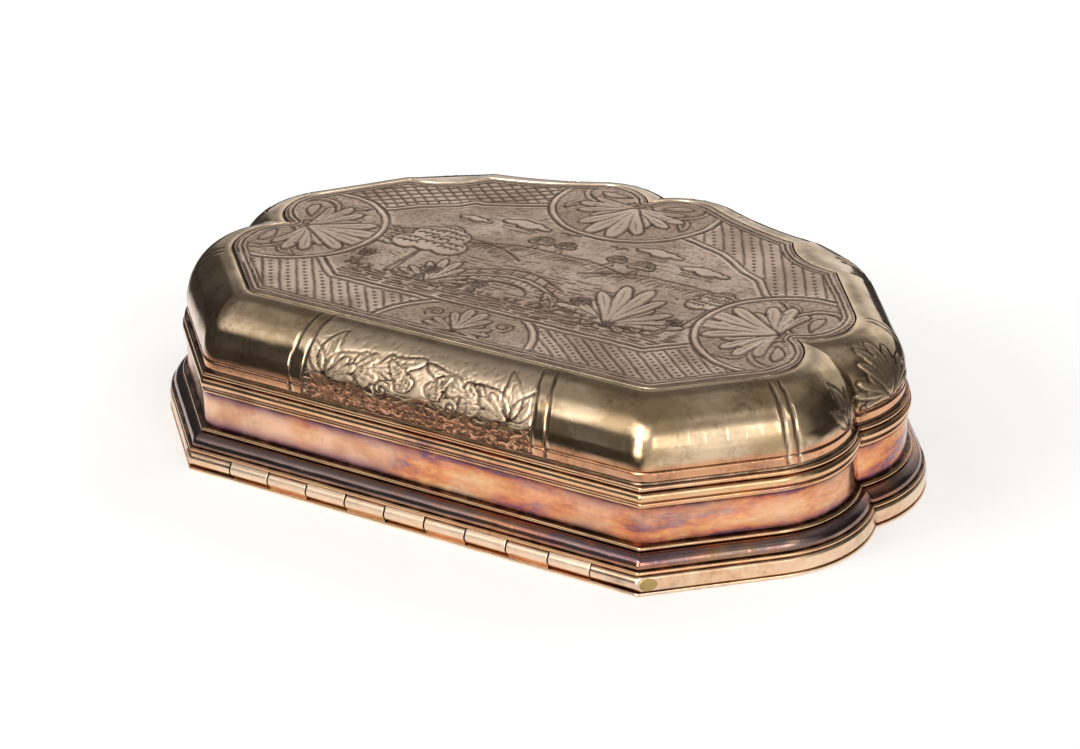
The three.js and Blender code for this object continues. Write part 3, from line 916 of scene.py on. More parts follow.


# Materials

# A tone is three screen values, or the name of one of the colour settings
# A metal's proud tone is rubbed metal with painted highlights, and its grime tone is dirt with
# painted shade.
PLAIN_METAL = {
    "grime": "grime", "proud": "worn_edge_and_highlight", "film_scale": 120.0, "dents": 0.5, "scratches": 0.5,
    "grime_and_shade_strength": 1.0, "stain_tone": None, "stain_film": 0.0, "ground_tone": None,
    "leaf_tone": None, "speckle": 0.0, "matt": 0.0,
}
METALS = {
    "Engraved Copper": {
        "slot": "engraved_copper", "clean": "engraved_copper", "toned": (196, 166, 144),
        "grime": (92, 70, 58), "proud": (232, 206, 184), "rough": 0.34, "film": -0.6,
        "dents": 0.35, "grime_and_shade_strength": 0.85, "ground_tone": (202, 173, 150),
        "leaf_tone": (214, 187, 165),
    },
    "Gilt Brass": {
        "slot": "gilt_brass", "clean": "gilt_brass", "toned": (182, 154, 118),
        "proud": (240, 214, 180), "rough": 0.12, "film": -0.4, "film_scale": 90.0,
        "ground_tone": (222, 164, 130), "stain_tone": (222, 164, 124), "stain_film": 0.2,
        "leaf_tone": (228, 202, 172), "speckle": 0.5, "matt": 0.26,
    },
    "Worn Copper": {
        "slot": "worn_copper", "clean": "bare_copper", "toned": (222, 164, 128), "rough": 0.17,
        "film": 0.32, "stain_tone": (120, 78, 102), "speckle": 0.2,
    },
    "Foot Copper": {
        "slot": "worn_copper", "clean": (222, 172, 136), "toned": (168, 126, 100), "rough": 0.1,
        "film": -0.1, "film_scale": 90.0, "stain_tone": (138, 118, 114), "speckle": 0.25,
    },
    "Pale Gilt": {
        "slot": "pale_gilt", "clean": "pale_gilt", "toned": (224, 168, 120),
        "proud": (248, 228, 204), "rough": 0.24, "film": -0.1, "speckle": 0.3,
    },
    "Hinge Gilt": {
        "slot": "pale_gilt", "clean": (240, 210, 178), "toned": (228, 184, 144),
        "proud": (250, 230, 208), "rough": 0.4, "film": -0.4, "dents": 0.4, "speckle": 0.2,
    },
    "Inner Gilding": {
        "slot": "worn_copper", "clean": (214, 176, 118), "toned": (196, 150, 100), "rough": 0.3,
        "film": -0.25, "dents": 0.8,
    },
    "Plug Brass": {
        "slot": "plug_brass", "clean": "plug_brass", "toned": (148, 128, 80), "rough": 0.34,
        "film": -0.4, "scratches": 1.0,
    },
    "Pin Steel": {
        "clean": (120, 114, 108), "toned": (96, 88, 80), "proud": (150, 144, 138), "rough": 0.32,
        "film": -0.6,
    },
}
TARNISH_TONES = (
    (0.34, (246, 206, 156)), (0.42, (240, 172, 106)), (0.49, (228, 136, 82)),
    (0.54, (196, 108, 82)), (0.575, (148, 84, 98)), (0.6, (110, 78, 116)),
    (0.625, (150, 104, 116)), (0.66, (214, 138, 102)), (0.74, (244, 192, 132)),
)
BUMP_DISTANCE = 0.00012


def screen(red, green, blue):
    """A colour read off a screen, 0 to 255, as the shader's own values."""
    parts = (part / 255 for part in (red, green, blue))
    return (*(
        part / 12.92 if part <= 0.04045 else ((part + 0.055) / 1.055) ** 2.4 for part in parts
    ), 1.0)


class Nodes:
    """Short calls that make and link the shader nodes of one tree."""

    def __init__(self, tree):
        self.tree = tree

    def feed(self, node, sockets):
        """Links a node's inputs, or sets those given as plain values."""
        for name, value in sockets.items():
            if isinstance(value, bpy.types.NodeSocket):
                self.tree.links.new(value, node.inputs[name])
            else:
                node.inputs[name].default_value = value

    def add(self, kind, sockets=None, **settings):
        made = self.tree.nodes.new("ShaderNode" + kind)
        for name, value in settings.items():
            setattr(made, name, value)
        self.feed(made, sockets or {})
        return made

    def here(self):
        return self.add("TexCoord").outputs["Object"]

    def maths(self, operation, first, second=0.0, third=0.0, clamp=False):
        values = {0: first, 1: second, 2: third}
        return self.add("Math", values, operation=operation, use_clamp=clamp).outputs[0]

    def times(self, first, second, clamp=False):
        return self.maths("MULTIPLY", first, second, clamp=clamp)

    def blend(self, share, first, second, mode="MIX"):
        values = {"Factor": share, 6: first, 7: second}
        return self.add("Mix", values, data_type="RGBA", blend_type=mode).outputs[2]

    def ramp(self, source, stops):
        made = self.add("ValToRGB", {"Fac": source})
        points = made.color_ramp.elements
        while len(points) < len(stops):
            points.new(0.5)
        for point, (place, colour) in zip(points, stops):
            point.position = place
            point.color = colour
        return made.outputs["Color"]

    def spread(self, value, low, high, to_low=0.0, to_high=1.0):
        values = {"Value": value, "From Min": low, "From Max": high, "To Min": to_low,
                  "To Max": to_high}
        return self.add("MapRange", values, interpolation_type="SMOOTHSTEP").outputs["Result"]

    def noise(self, place, scale, detail=4.0, roughness=0.6, stretch=None):
        if stretch:
            place = self.add("Mapping", {"Scale": stretch, "Vector": place}).outputs["Vector"]
        values = {"Vector": place, "Scale": scale, "Detail": detail, "Roughness": roughness}
        return self.add("TexNoise", values).outputs["Fac"]


def make_group(name, inputs, fill):
    """A shader group; fill gets its nodes, place and inputs, and gives its outputs by name."""
    group = bpy.data.node_groups.new(name, "ShaderNodeTree")
    for label, default in inputs.items():
        socket = group.interface.new_socket(label, in_out="INPUT", socket_type="NodeSocketFloat")
        socket.default_value = default
    nodes = Nodes(group)
    results = fill(nodes, nodes.here(), group.nodes.new("NodeGroupInput").outputs)
    for label in results:
        kind = "NodeSocketColor" if label == "Colour" else "NodeSocketFloat"
        group.interface.new_socket(label, in_out="OUTPUT", socket_type=kind)
    nodes.feed(group.nodes.new("NodeGroupOutput"), results)


def rainbow_tarnish(nodes, place, given):
    """Rainbow films of old copper: a colour and where it lies."""
    broad = nodes.noise(place, given["Scale"], 3.0, 0.55, (-0.7, 0.7, 3.4))
    fine = nodes.noise(place, nodes.times(given["Scale"], 7.0), 5.0, 0.65, (1.0, 1.0, 2.4))
    mixed = nodes.maths("ADD", nodes.times(broad, 0.75), nodes.times(fine, 0.25))
    veil = nodes.spread(nodes.noise(place, 75.0), 0.36, 0.66, -0.5, 0.5)
    return {
        "Colour": nodes.ramp(mixed, [(at, screen(*tone)) for at, tone in TARNISH_TONES]),
        "Cover": nodes.maths("ADD", veil, given["Amount"], clamp=True),
    }


def grime_wear_and_painted_light(nodes, place, given):
    """Dark dirt and painted shade in cuts and hollows, and bare metal and painted highlights on
    what stands proud.
    """
    groove, ground, polish, leaf, stain = (
        nodes.add("Attribute", attribute_name=name).outputs["Fac"]
        for name in ("groove", "ground", "polish", "leaf", "stain")
    )
    broken = nodes.noise(place, 420.0)
    cut = nodes.times(groove, nodes.spread(broken, 0.3, 0.62, 0.55, 1.1))
    speckle = nodes.spread(nodes.noise(place, 1900.0, 2.0), 0.35, 0.65, 0.35, 1.0)
    patchy = nodes.spread(nodes.noise(place, 260.0, 4.0, 0.65), 0.3, 0.6, 0.3, 1.0)
    cloud = nodes.spread(nodes.noise(place, 150.0, 5.0, 0.7), 0.44, 0.66)
    grit = nodes.spread(nodes.noise(place, 1500.0, 3.0, 0.7), 0.42, 0.66, 0.25, 1.0)
    edge = nodes.maths("MULTIPLY_ADD", broken, 0.5, 0.75)
    return {
        # Cuts and creases darkened: real dirt there, and painted shade
        "Grime": nodes.times(cut, given["Strength"], clamp=True),
        "Ground": nodes.times(ground, speckle),
        # Proud places brightened: rubbed metal, and painted highlights
        "Proud": nodes.times(polish, patchy),
        "Leaf": leaf,
        "Stain": nodes.times(stain, edge, clamp=True),
        "Specks": nodes.times(cloud, grit),
    }


def handling_marks(nodes, place, given):
    """Hair scratches, small dents and smears from two centuries of handling."""
    marks = []
    for turn, stretch in ((0.4, (30.0, 900.0, 60.0)), (2.2, (1000.0, 26.0, 60.0))):
        turned = nodes.add("Mapping", {"Rotation": (0.2, 0.1, turn), "Vector": place})
        streak = nodes.noise(turned.outputs["Vector"], 1.6, 3.0, 0.6, stretch)
        marks.append(nodes.spread(streak, 0.62, 0.72))
    scratches = nodes.times(nodes.maths("ADD", *marks), given["Scratches"])
    dents = nodes.times(nodes.noise(place, 210.0, 3.0, 0.5), given["Dents"])
    return {
        "Height": nodes.maths("SUBTRACT", dents, nodes.times(scratches, 0.12)),
        "Smear": nodes.noise(place, 130.0, 5.0, 0.62, (1.0, 1.0, 1.6)),
    }


def old_metal(name, colours):
    """Gilt or bare metal with toning, rainbow film, grime and painted shade in its hollows, and
    worn edges with painted highlights.
    """
    look = {**PLAIN_METAL, **METALS[name]}

    def tone(key):
        value = look[key]
        return tuple(getattr(colours, value)) if isinstance(value, str) else screen(*value)

    def group(label, **inputs):
        made = nodes.add("Group", node_tree=bpy.data.node_groups[label])
        nodes.feed(made, inputs)
        return made.outputs

    material = bpy.data.materials.new(name)
    material.use_nodes = True
    nodes = Nodes(material.node_tree)
    film = group("Rainbow Tarnish", Scale=look["film_scale"], Amount=look["film"])
    dirt_and_shade = group("Settled Grime", Strength=look["grime_and_shade_strength"])
    marks = group("Handling Marks", Scratches=look["scratches"], Dents=look["dents"])
    toning = nodes.spread(marks["Smear"], 0.38, 0.64)
    colour = nodes.blend(toning, tone("clean"), tone("toned"))
    cover = film["Cover"]
    if look["stain_tone"]:
        colour = nodes.blend(dirt_and_shade["Stain"], colour, tone("stain_tone"))
        cover = nodes.maths("MULTIPLY_ADD", dirt_and_shade["Stain"], look["stain_film"], cover, clamp=True)
    colour = nodes.blend(cover, colour, film["Colour"])
    # Proud places take a bright tone: rubbed metal and painted highlights.
    for mask, key in (("Leaf", "leaf_tone"), ("Ground", "ground_tone"), ("Proud", "proud")):
        if look[key]:
            colour = nodes.blend(dirt_and_shade[mask], colour, tone(key))
    if look["speckle"]:
        colour = nodes.blend(nodes.times(dirt_and_shade["Specks"], look["speckle"]), colour, tone("grime"))
    duller = nodes.maths("ADD", nodes.times(dirt_and_shade["Grime"], 0.34), nodes.times(dirt_and_shade["Ground"], 0.1))
    if look["matt"]:
        duller = nodes.maths("MULTIPLY_ADD", dirt_and_shade["Leaf"], look["matt"], duller)
    rough = look["rough"]
    smeared = nodes.spread(marks["Smear"], 0.35, 0.7, rough - 0.05, rough + 0.09)
    shiny = nodes.maths("MULTIPLY_ADD", dirt_and_shade["Proud"], -0.08, smeared)
    raised = nodes.add("Bump", {"Strength": 0.6, "Distance": BUMP_DISTANCE,
                                "Height": marks["Height"]})
    # Cuts and creases take the dark grime colour: dirt and painted shade.
    nodes.feed(material.node_tree.nodes["Principled BSDF"], {
        "Metallic": 1.0,
        "Base Color": nodes.blend(dirt_and_shade["Grime"], colour, tone("grime")),
        "Roughness": nodes.maths("ADD", shiny, duller, clamp=True),
        "Normal": raised.outputs["Normal"],
    })


# Pieces of the case

def build_base_plate(sizes):
    """The flat base plate, with its whole top engraved."""
    outline = plan_ring(PLATE_EDGE, stretch_counts(0.1))
    low_y = outline[:, 1].min()
    columns, rows = (
        math.ceil(reach / sizes.plate_grid) + 2
        for reach in (2 * outline[:, 0].max(), outline[:, 1].max() - low_y)
    )
    across = (np.arange(columns) - (columns - 1) / 2) * sizes.plate_grid
    along = low_y - sizes.plate_grid * 0.5 + np.arange(rows) * sizes.plate_grid
    work = Engraving(across, along)
    kept, edge = np.zeros(work.x.shape, bool), np.zeros(work.x.shape)
    starts, ends, coarse = outline, np.roll(outline, -1, axis=0), outline[::3]
    for row, y in enumerate(along):
        spans = (starts[:, 1] > y) != (ends[:, 1] > y)
        a, b = starts[spans], ends[spans]
        crossings = np.sort(a[:, 0] + (y - a[:, 1]) * (b[:, 0] - a[:, 0]) / (b[:, 1] - a[:, 1]))
        kept[row] = np.searchsorted(crossings, across) % 2 == 1
        edge[row] = np.hypot(
            work.x[row][:, None] - coarse[:, 0], work.y[row][:, None] - coarse[:, 1]
        ).min(1)
    edge *= np.where(kept, 1, -1)
    engrave_plate(work, edge)
    worn_spot = smoothstep(1.0 - np.hypot(work.x - 8.8, (work.y + 4.9) * 1.7), 0.0, 0.7)
    groove = work.depth * (1 - 0.7 * worn_spot)
    lift = work.leaf * 0.04 + work.ridge * 0.03 - work.ground * 0.03 - groove * sizes.cut_depth
    wave = 0.03 * (np.sin(0.31 * work.x + 0.17 * work.y) + np.sin(0.23 * work.y - 0.4)) - 0.06
    rounding = -0.12 * smoothstep(0.34 - edge, 0.0, 0.34)
    height = BASE_PLATE_TOP_Z - 0.08 + lift + wave * 0.5 + rounding

    # Cuts are darkened with dirt and painted shade; a worn spot is brightened, and so are the burrs
    # beside the cuts, as painted highlights.
    masks = {"groove": groove, "leaf": work.leaf, "ground": work.ground,
             "polish": np.maximum(worn_spot, 0.8 * work.ridge)}
    shape = bmesh.new()
    layers = add_masks(shape, masks)
    made = bmesh.ops.create_grid(shape, x_segments=columns - 1, y_segments=rows - 1, size=0.5)
    outside = []
    for vert in made["verts"]:
        column = round((vert.co.x + 0.5) * (columns - 1))
        row = round((vert.co.y + 0.5) * (rows - 1))
        if not kept[row, column]:
            outside.append(vert)
            continue
        vert.co = to_frame((across[column], along[row], height[row, column]))
        for name, layer in layers.items():
            vert[layer] = float(masks[name][row, column])
    bmesh.ops.delete(shape, geom=outside, context="VERTS")
    loose = [vert for vert in shape.verts if not vert.link_faces]
    bmesh.ops.delete(shape, geom=loose, context="VERTS")
    border = [side for side in shape.edges if side.is_boundary]
    for vert in {vert for side in border for vert in side.verts}:
        x, y = vert.co.x / MM, vert.co.y / MM - PLAN_SHIFT_Y
        near = outline[np.argmin(np.hypot(outline[:, 0] - x, outline[:, 1] - y))]
        vert.co = to_frame((*near, BASE_PLATE_TOP_Z - 0.2))
    verts, border = extruded(shape, border)
    for vert in verts:
        vert.co.z = BASE_PLATE_BOTTOM_Z * MM
        for layer in layers.values():
            vert[layer] = 0.0
    bmesh.ops.holes_fill(shape, edges=border, sides=0)
    as_piece(shape, "engraved_base_plate", "case", "Engraved Copper", "base_plate", 50)


def shoulder_section():
    """The closed section of the shoulder, and which rows are its outer face."""
    # The band is darkened with dirt and painted shade at its foot against the bead.
    band = flat([(INNER_FACE - 0.25, UPPER_BEAD_TOP_Z), (DOME_FOOT - 0.12, UPPER_BEAD_TOP_Z)], 0.6)
    outer = flat([(DOME_FOOT - 0.03, UPPER_BEAD_TOP_Z + 0.05)], 0.6)
    for z in np.arange(UPPER_BEAD_TOP_Z + 0.2, DOME_BOTTOM_Z, 0.12):
        # A darker line at the seam, and dirt and painted shade just above the bead.
        seam = math.exp(-((z - SHOULDER_SEAM_Z) / 0.09) ** 2)
        near_bead = math.exp(-((z - UPPER_BEAD_TOP_Z) / 0.3) ** 2)
        outer.append([DOME_FOOT - 0.08 * seam, z, 0.85 * seam + 0.6 * near_bead, 0.1, 1.0])
    angles = np.linspace(0, math.pi / 2, 400)
    quarter = np.column_stack([
        DOME_CROWN + (DOME_FOOT - DOME_CROWN) * np.cos(angles),
        DOME_BOTTOM_Z + (DOME_TOP_Z - DOME_BOTTOM_Z) * np.sin(angles),
    ])
    run = run_along(quarter)
    for place in np.linspace(0, 1, 58) * run[-1]:
        offset, z = (np.interp(place, run, quarter[:, part]) for part in (0, 1))
        # The crown's edge is worn and painted with a highlight, the foot shows bare copper, and a
        # darker band lies about 1.1 mm below the crown.
        edge = math.exp(-((run[-1] - place) / 0.35) ** 2)
        bare = math.exp(-(place / 0.45) ** 2)
        dark_band = 0.4 * math.exp(-((run[-1] - place - 1.1) / 0.7) ** 2)
        outer.append([offset, z - 0.02, dark_band, 0.7 * edge, bare])
    # The lip is worn and painted with a highlight; the plate seat is darkened with dirt and painted
    # shade.
    lip = flat([(DOME_CROWN - 0.1, DOME_TOP_Z - 0.03)], 0.0, 0.9)
    lip += flat([(PLATE_SEAT_WALL, DOME_TOP_Z - 0.12)], 0.3)
    lip += flat([(PLATE_SEAT_WALL, BASE_PLATE_BOTTOM_Z), (PLATE_SEAT_LIP, BASE_PLATE_BOTTOM_Z)], 1)
    out, foot_z = DOME_FOOT - 0.9 - PLATE_SEAT_LIP, DOME_BOTTOM_Z - 0.4
    inner = flat([
        (PLATE_SEAT_LIP + out * math.cos(angle),
         foot_z + (BASE_PLATE_BOTTOM_Z - 0.6 - foot_z) * math.sin(angle))
        for angle in np.radians(np.linspace(90, 0, 9))
    ])
    return band + outer + lip + inner, slice(len(band), len(band) + len(outer))


def build_shoulder(sizes):
    """The swelling shoulder, raised and engraved all round."""
    counts = stretch_counts(sizes.shoulder_grid)
    section, outer = shoulder_section()
    places = section_rows(section, counts, sizes.shoulder_ease)
    columns = places.shape[1]
    masks = section_masks(section, columns)
    for name in ("leaf", "ground"):
        masks[name] = np.zeros(places.shape[:2])
    ring = plan_ring(RUN_OFFSET, counts, sizes.shoulder_ease)
    around = run_along(np.vstack([ring, ring[:1]]))
    at_right = np.arange(columns) <= columns - columns // 2
    across = np.where(at_right, around[:-1], around[:-1] - around[-1])
    order = np.argsort(across)
    heights = run_along(np.array([point[:2] for point in section[outer]]))
    work = Engraving(across[order], heights)
    near_start, notch, far_end, petal_front, petal_back, back_start, back_notch = around[
        np.cumsum(counts)[1:] + EASE_STEPS
    ]
    engrave_shoulder(work, (
        near_start + 1.4, notch, far_end - 2.0, (petal_front + petal_back) / 2,
        (petal_back + back_start) / 2 + 2.6, (back_start + back_notch) / 2,
    ))
    back_in_place = np.argsort(order)
    # Cuts are darkened with dirt and painted shade, and the burrs beside them brightened as painted
    # highlights.
    for name, values in (("groove", work.depth), ("leaf", work.leaf), ("ground", work.ground),
                         ("polish", work.ridge)):
        masks[name][outer] = np.maximum(masks[name][outer], values[:, back_in_place])
    lift = np.zeros(places.shape[:2])
    lift[outer] = (
        masks["leaf"][outer] * 0.06 - masks["ground"][outer] * 0.04
        - masks["groove"][outer] * sizes.cut_depth
    )
    lift[outer] += ripple(places[outer] * 0.7, 0.022) - 0.15
    masks["leaf"][outer] = np.maximum(0.6 * masks["leaf"][outer], work.matt[:, back_in_place])
    places = places + outward(places) * lift[..., None]
    as_piece(swept(places, masks), "raised_shoulder", "case", "Gilt Brass", "shoulder", 60)


def upper_bead_section():
    radius = (UPPER_BEAD_TOP_Z - LOWER_BEAD_TOP_Z) / 2
    return (
        flat([(INNER_FACE, LOWER_BEAD_TOP_Z)], 0.8)
        + bead(-0.3, LOWER_BEAD_TOP_Z, radius, radius, range(-90, 91, 15), (0.95, 3),
               (0.8, 0.35, 3))
        + flat([(INNER_FACE, UPPER_BEAD_TOP_Z)], 0.8)
    )


def lower_bead_section():
    """A flat fillet under the bolder bead."""
    fillet_top = WALL_TOP_Z + 0.6
    # Dirt and painted shade darken it where it meets the wall and the bead; its edges and face are
    # worn and painted with highlights.
    section = flat([(INNER_FACE, WALL_TOP_Z), (0.06, WALL_TOP_Z)], 0.5)
    section += flat([(0.12, WALL_TOP_Z + 0.08)], 0.2, 0.5)
    section += flat([(0.13, WALL_TOP_Z + 0.2), (0.12, fillet_top - 0.2)], 0.0, 0.3)
    section += flat([(0.06, fillet_top - 0.08)], 0.3, 0.3) + flat([(-0.06, fillet_top)], 0.9)
    section += bead(-0.1, fillet_top, 0.45, (LOWER_BEAD_TOP_Z - fillet_top) / 2,
                    range(-72, 73, 12), (0.9, 5), (1.0, 0.3, 2))
    return section + flat([(-0.25, LOWER_BEAD_TOP_Z), (INNER_FACE, LOWER_BEAD_TOP_Z)], 1.0)


def wall_section():
    section = flat([(INNER_FACE, WALL_BOTTOM_Z)])
    for z in np.linspace(WALL_BOTTOM_Z, WALL_TOP_Z, 24):
        low, high = z - WALL_BOTTOM_Z, z - WALL_TOP_Z
        hollow = 0.035 * math.sin(math.pi * low / (WALL_TOP_Z - WALL_BOTTOM_Z))
        # Dirt and painted shade darken the wall where it meets the mouldings above and below.
        dirt_and_shade = 0.85 * (math.exp(-(low / 0.3) ** 2) + math.exp(-(high / 0.25) ** 2))
        stain = 0.9 * math.exp(-(low / 1.1) ** 2) + 0.9 * math.exp(-(high / 0.9) ** 2)
        section.append([-0.01 - hollow, z, min(0.85, dirt_and_shade), 0.0, stain])
    return section + flat([(INNER_FACE, WALL_TOP_Z)])


def foot_section():
    """A small bead over a full ovolo."""
    bottom = PARTING_Z + CASE_RIM_HEIGHT
    neck, radius = 0.4, 0.3
    out, bead_bottom = FOOT_REACH - 0.01, WALL_BOTTOM_Z - 0.1 - 2 * radius
    # Dirt and painted shade darken the foot's lower edge and both ends of the ovolo, where it meets
    # the parts next to it.
    section = flat([(INNER_FACE, bottom), (FOOT_REACH - 0.06, bottom)], 0.9)
    section += flat([(out, bottom + 0.05)], 0.8)
    for degrees in np.linspace(0, 90, 19):
        angle = math.radians(degrees)
        section.append([
            neck + (out - neck) * math.cos(angle),
            bottom + 0.15 + (bead_bottom - bottom - 0.15) * math.sin(angle),
            max(0.5 * (1 - degrees / 14), (degrees - 72) / 18, 0.0), 0.0, min(1.0, degrees / 10),
        ])
    section += bead(neck - 0.05, bead_bottom, radius, radius, range(-56, 91, 14), (0.9, 4),
                    (0.9, 0.5, 2))
    return section + flat([(0.0, WALL_BOTTOM_Z), (INNER_FACE, WALL_BOTTOM_Z)], 1.0)


def rim_section():
    radius = CASE_RIM_HEIGHT / 2
    return (
        flat([(INNER_FACE, PARTING_Z)], 0.5)
        + bead(RIM_REACH - radius, PARTING_Z, radius, radius, range(-90, 91, 15), (0.95, 3),
               (0.9, 0.3, 2))
        + flat([(INNER_FACE, PARTING_Z + CASE_RIM_HEIGHT)], 0.5)
    )


def build_case_mouldings(sizes):
    """The two beads, the plain band, the spreading foot and the mouth rim."""
    for name, node, section, metal, sharp, uneven, ease in (
        ("upper_bead", "waist_bead_upper", upper_bead_section(), "Worn Copper", 70, 0.012, 0.3),
        ("lower_bead", "waist_bead_lower", lower_bead_section(), "Worn Copper", 70, 0.012, 0.3),
        ("plain_band", "side_wall", wall_section(), "Worn Copper", 50, 0.03, sizes.shoulder_ease),
        ("spreading_foot", "foot_moulding", foot_section(), "Foot Copper", 60, 0.02, 0.3),
        ("mouth_rim", "case_rim", rim_section(), "Worn Copper", 70, 0.012, 0.3),
    ):
        moulding(name, node, section, metal, sizes.moulding_grid, sharp, uneven, ease)


# Pieces of the lid

def build_lid_plate(sizes):
    """The flat sheet of the lid, with a rounded edge."""
    reach = LID_REACH - 0.015
    section = flat([(-1.6, 0.0), (reach - 0.12, 0.0)])
    # The rounded edge is worn and painted with a highlight.
    section += flat([(reach - 0.03, 0.05), (reach, 0.14), (reach - 0.01, LID_SHEET - 0.08)], 0, 0.8)
    section += flat([(reach - 0.07, LID_SHEET), (-1.6, LID_SHEET)])
    moulding("lid_sheet", "lid_plate", section, "Pale Gilt", sizes.moulding_grid, 40, 0.0, 0.0,
             "lid", loop=False)


def lid_rim_sections():
    """Two sections with as many points: the moulded strip, and the barrel at the hinge."""
    edge = LID_RIM_REACH
    strip = [
        (LID_RIM_INNER, LID_SHEET), (edge - 0.2, LID_SHEET), (edge - 0.07, LID_SHEET + 0.1),
        (edge, LID_SHEET + 0.3), (edge + 0.01, LID_SHEET + 0.7), (edge + 0.01, 1.5),
        (edge, PARTING_Z - 0.5), (edge - 0.04, PARTING_Z - 0.3), (edge - 0.12, PARTING_Z - 0.12),
        (edge - 0.26, PARTING_Z - 0.02), (edge - 0.45, PARTING_Z), (LID_RIM_INNER, PARTING_Z),
    ]
    barrel = [(LID_RIM_INNER, LID_SHEET)]
    for angle in np.radians((-66, -44, -26, -12, 4, 20, 38, 56, 74, 90)):
        z = HINGE_Z + (KNUCKLE_RADIUS + 0.04) * math.sin(angle)
        barrel.append((HINGE_SIDE_Y - HINGE_Y + KNUCKLE_RADIUS * math.cos(angle),
                       max(LID_SHEET, z)))
    barrel.append((LID_RIM_INNER, PARTING_Z))
    return strip, barrel


def build_lid_rim(sizes):
    """The lid's edge strip, rounded like the hinge tube at its two ends."""
    counts = stretch_counts(sizes.moulding_grid)
    strip, barrel = lid_rim_sections()
    places, turned = section_rows(strip, counts), section_rows(barrel, counts)
    corner = counts[0]
    places[:, :corner + 1] = turned[:, :corner + 1]
    places[:, -corner:] = turned[:, -corner:]
    gap_end = (KNUCKLE_COUNT * KNUCKLE_PITCH + KNUCKLE_GAP) / 2
    start, end = places[:, corner] * (0, 1, 1) + (gap_end, 0, 0), places[:, corner]
    share = np.linspace(0, 1, 17)[None, :, None]
    right_end = start[:, None] * (1 - share) + end[:, None] * share
    middle, left_end = places[:, corner + 1:-corner], right_end[:, ::-1] * (-1, 1, 1)
    places = np.concatenate([right_end, middle, left_end], axis=1)
    section = []
    for number, (offset, z) in enumerate(strip):
        parting = 0.85 * math.exp(-((z - PARTING_Z) / 0.16) ** 2)
        seam = 0.7 * math.exp(-((z - LID_SHEET) / 0.1) ** 2)
        section.append([offset, z, min(1.0, parting + seam), 0.5 if 2 < number < 9 else 0.0])
    shape = swept(places, section_masks(section, places.shape[1]), ring=False)
    as_piece(shape, "lid_edge_strip", "lid", "Pale Gilt", "lid_rim", 50)


def build_lid_bezel(sizes):
    """The upright flange inside the lid."""
    outer = INNER_FACE - 0.3
    inner, top = outer - 0.7, PARTING_Z + 1.1
    # Dirt and painted shade darken its foot; its top edge is worn and painted with a highlight.
    section = flat([(inner, LID_SHEET), (outer, LID_SHEET)], 0.7)
    section += flat([(outer, LID_SHEET + 0.3), (outer, top - 0.25)])
    section += flat([(outer - 0.05, top - 0.08), (outer - 0.2, top), (inner + 0.12, top)], 0, 0.9)
    section += flat([(inner + 0.02, top - 0.08), (inner, top - 0.25), (inner, LID_SHEET + 0.3)])
    moulding("lid_flange", "lid_bezel", section, "Inner Gilding", sizes.moulding_grid, 60, 0.02,
             body="lid")


# Pieces of the hinge

def build_knuckle(place):
    """One hinge knuckle: a bored barrel with a foot, its ends eased."""
    body, side = ("lid", -1) if place % 2 else ("case", 1)
    length = KNUCKLE_PITCH - KNUCKLE_GAP
    start = (place - (KNUCKLE_COUNT - 1) / 2) * KNUCKLE_PITCH - length / 2
    shape = bmesh.new()
    masks = add_masks(shape, ("groove", "polish"))
    outer, _ = (bmesh.ops.create_circle(shape, segments=40, radius=radius)["verts"]
                for radius in (KNUCKLE_RADIUS, KNUCKLE_BORE))
    for vert in outer:
        if vert.co.y * side > 0 and abs(vert.co.x) < KNUCKLE_FOOT / 2:
            vert.co.y = ((PARTING_Z - LID_SHEET) / 2 - 0.01) * side
    bmesh.ops.bridge_loops(shape, edges=list(shape.edges))
    made = bmesh.ops.extrude_face_region(shape, geom=list(shape.faces))["geom"]
    raised = [item for item in made if isinstance(item, bmesh.types.BMVert)]
    bmesh.ops.translate(shape, verts=raised, vec=(0, 0, length))
    bmesh.ops.recalc_face_normals(shape, faces=shape.faces)
    ease_edges(shape, [
        edge for edge in shape.edges
        if len(edge.link_faces) == 2 and edge.calc_face_angle() > 1.2
        and abs(edge.verts[0].co.z - edge.verts[1].co.z) < 1e-6
    ], 0.07)
    for at in (0.1, length - 0.1):
        bmesh.ops.bisect_plane(shape, geom=shape.verts[:] + shape.edges[:] + shape.faces[:],
                               dist=1e-6, plane_co=(0, 0, at), plane_no=(0, 0, 1))
    turned = Matrix(((0, 0, 1, start), (1, 0, 0, HINGE_Y), (0, 1, 0, HINGE_Z), (0, 0, 0, 1)))
    for vert in shape.verts:
        from_end = min(vert.co.z, length - vert.co.z)
        outside = math.hypot(vert.co.x, vert.co.y) > KNUCKLE_RADIUS * 0.9
        vert[masks["groove"]] = 0.9 if from_end < 0.03 else 0.0
        vert[masks["polish"]] = 0.5 if outside and from_end > 0.05 else 0.0
        vert.co = to_frame(turned @ vert.co)
    as_piece(shape, f"hinge_barrel_{place + 1}", body, "Hinge Gilt",
             f"{body}_knuckle_{place + 1}", 40)


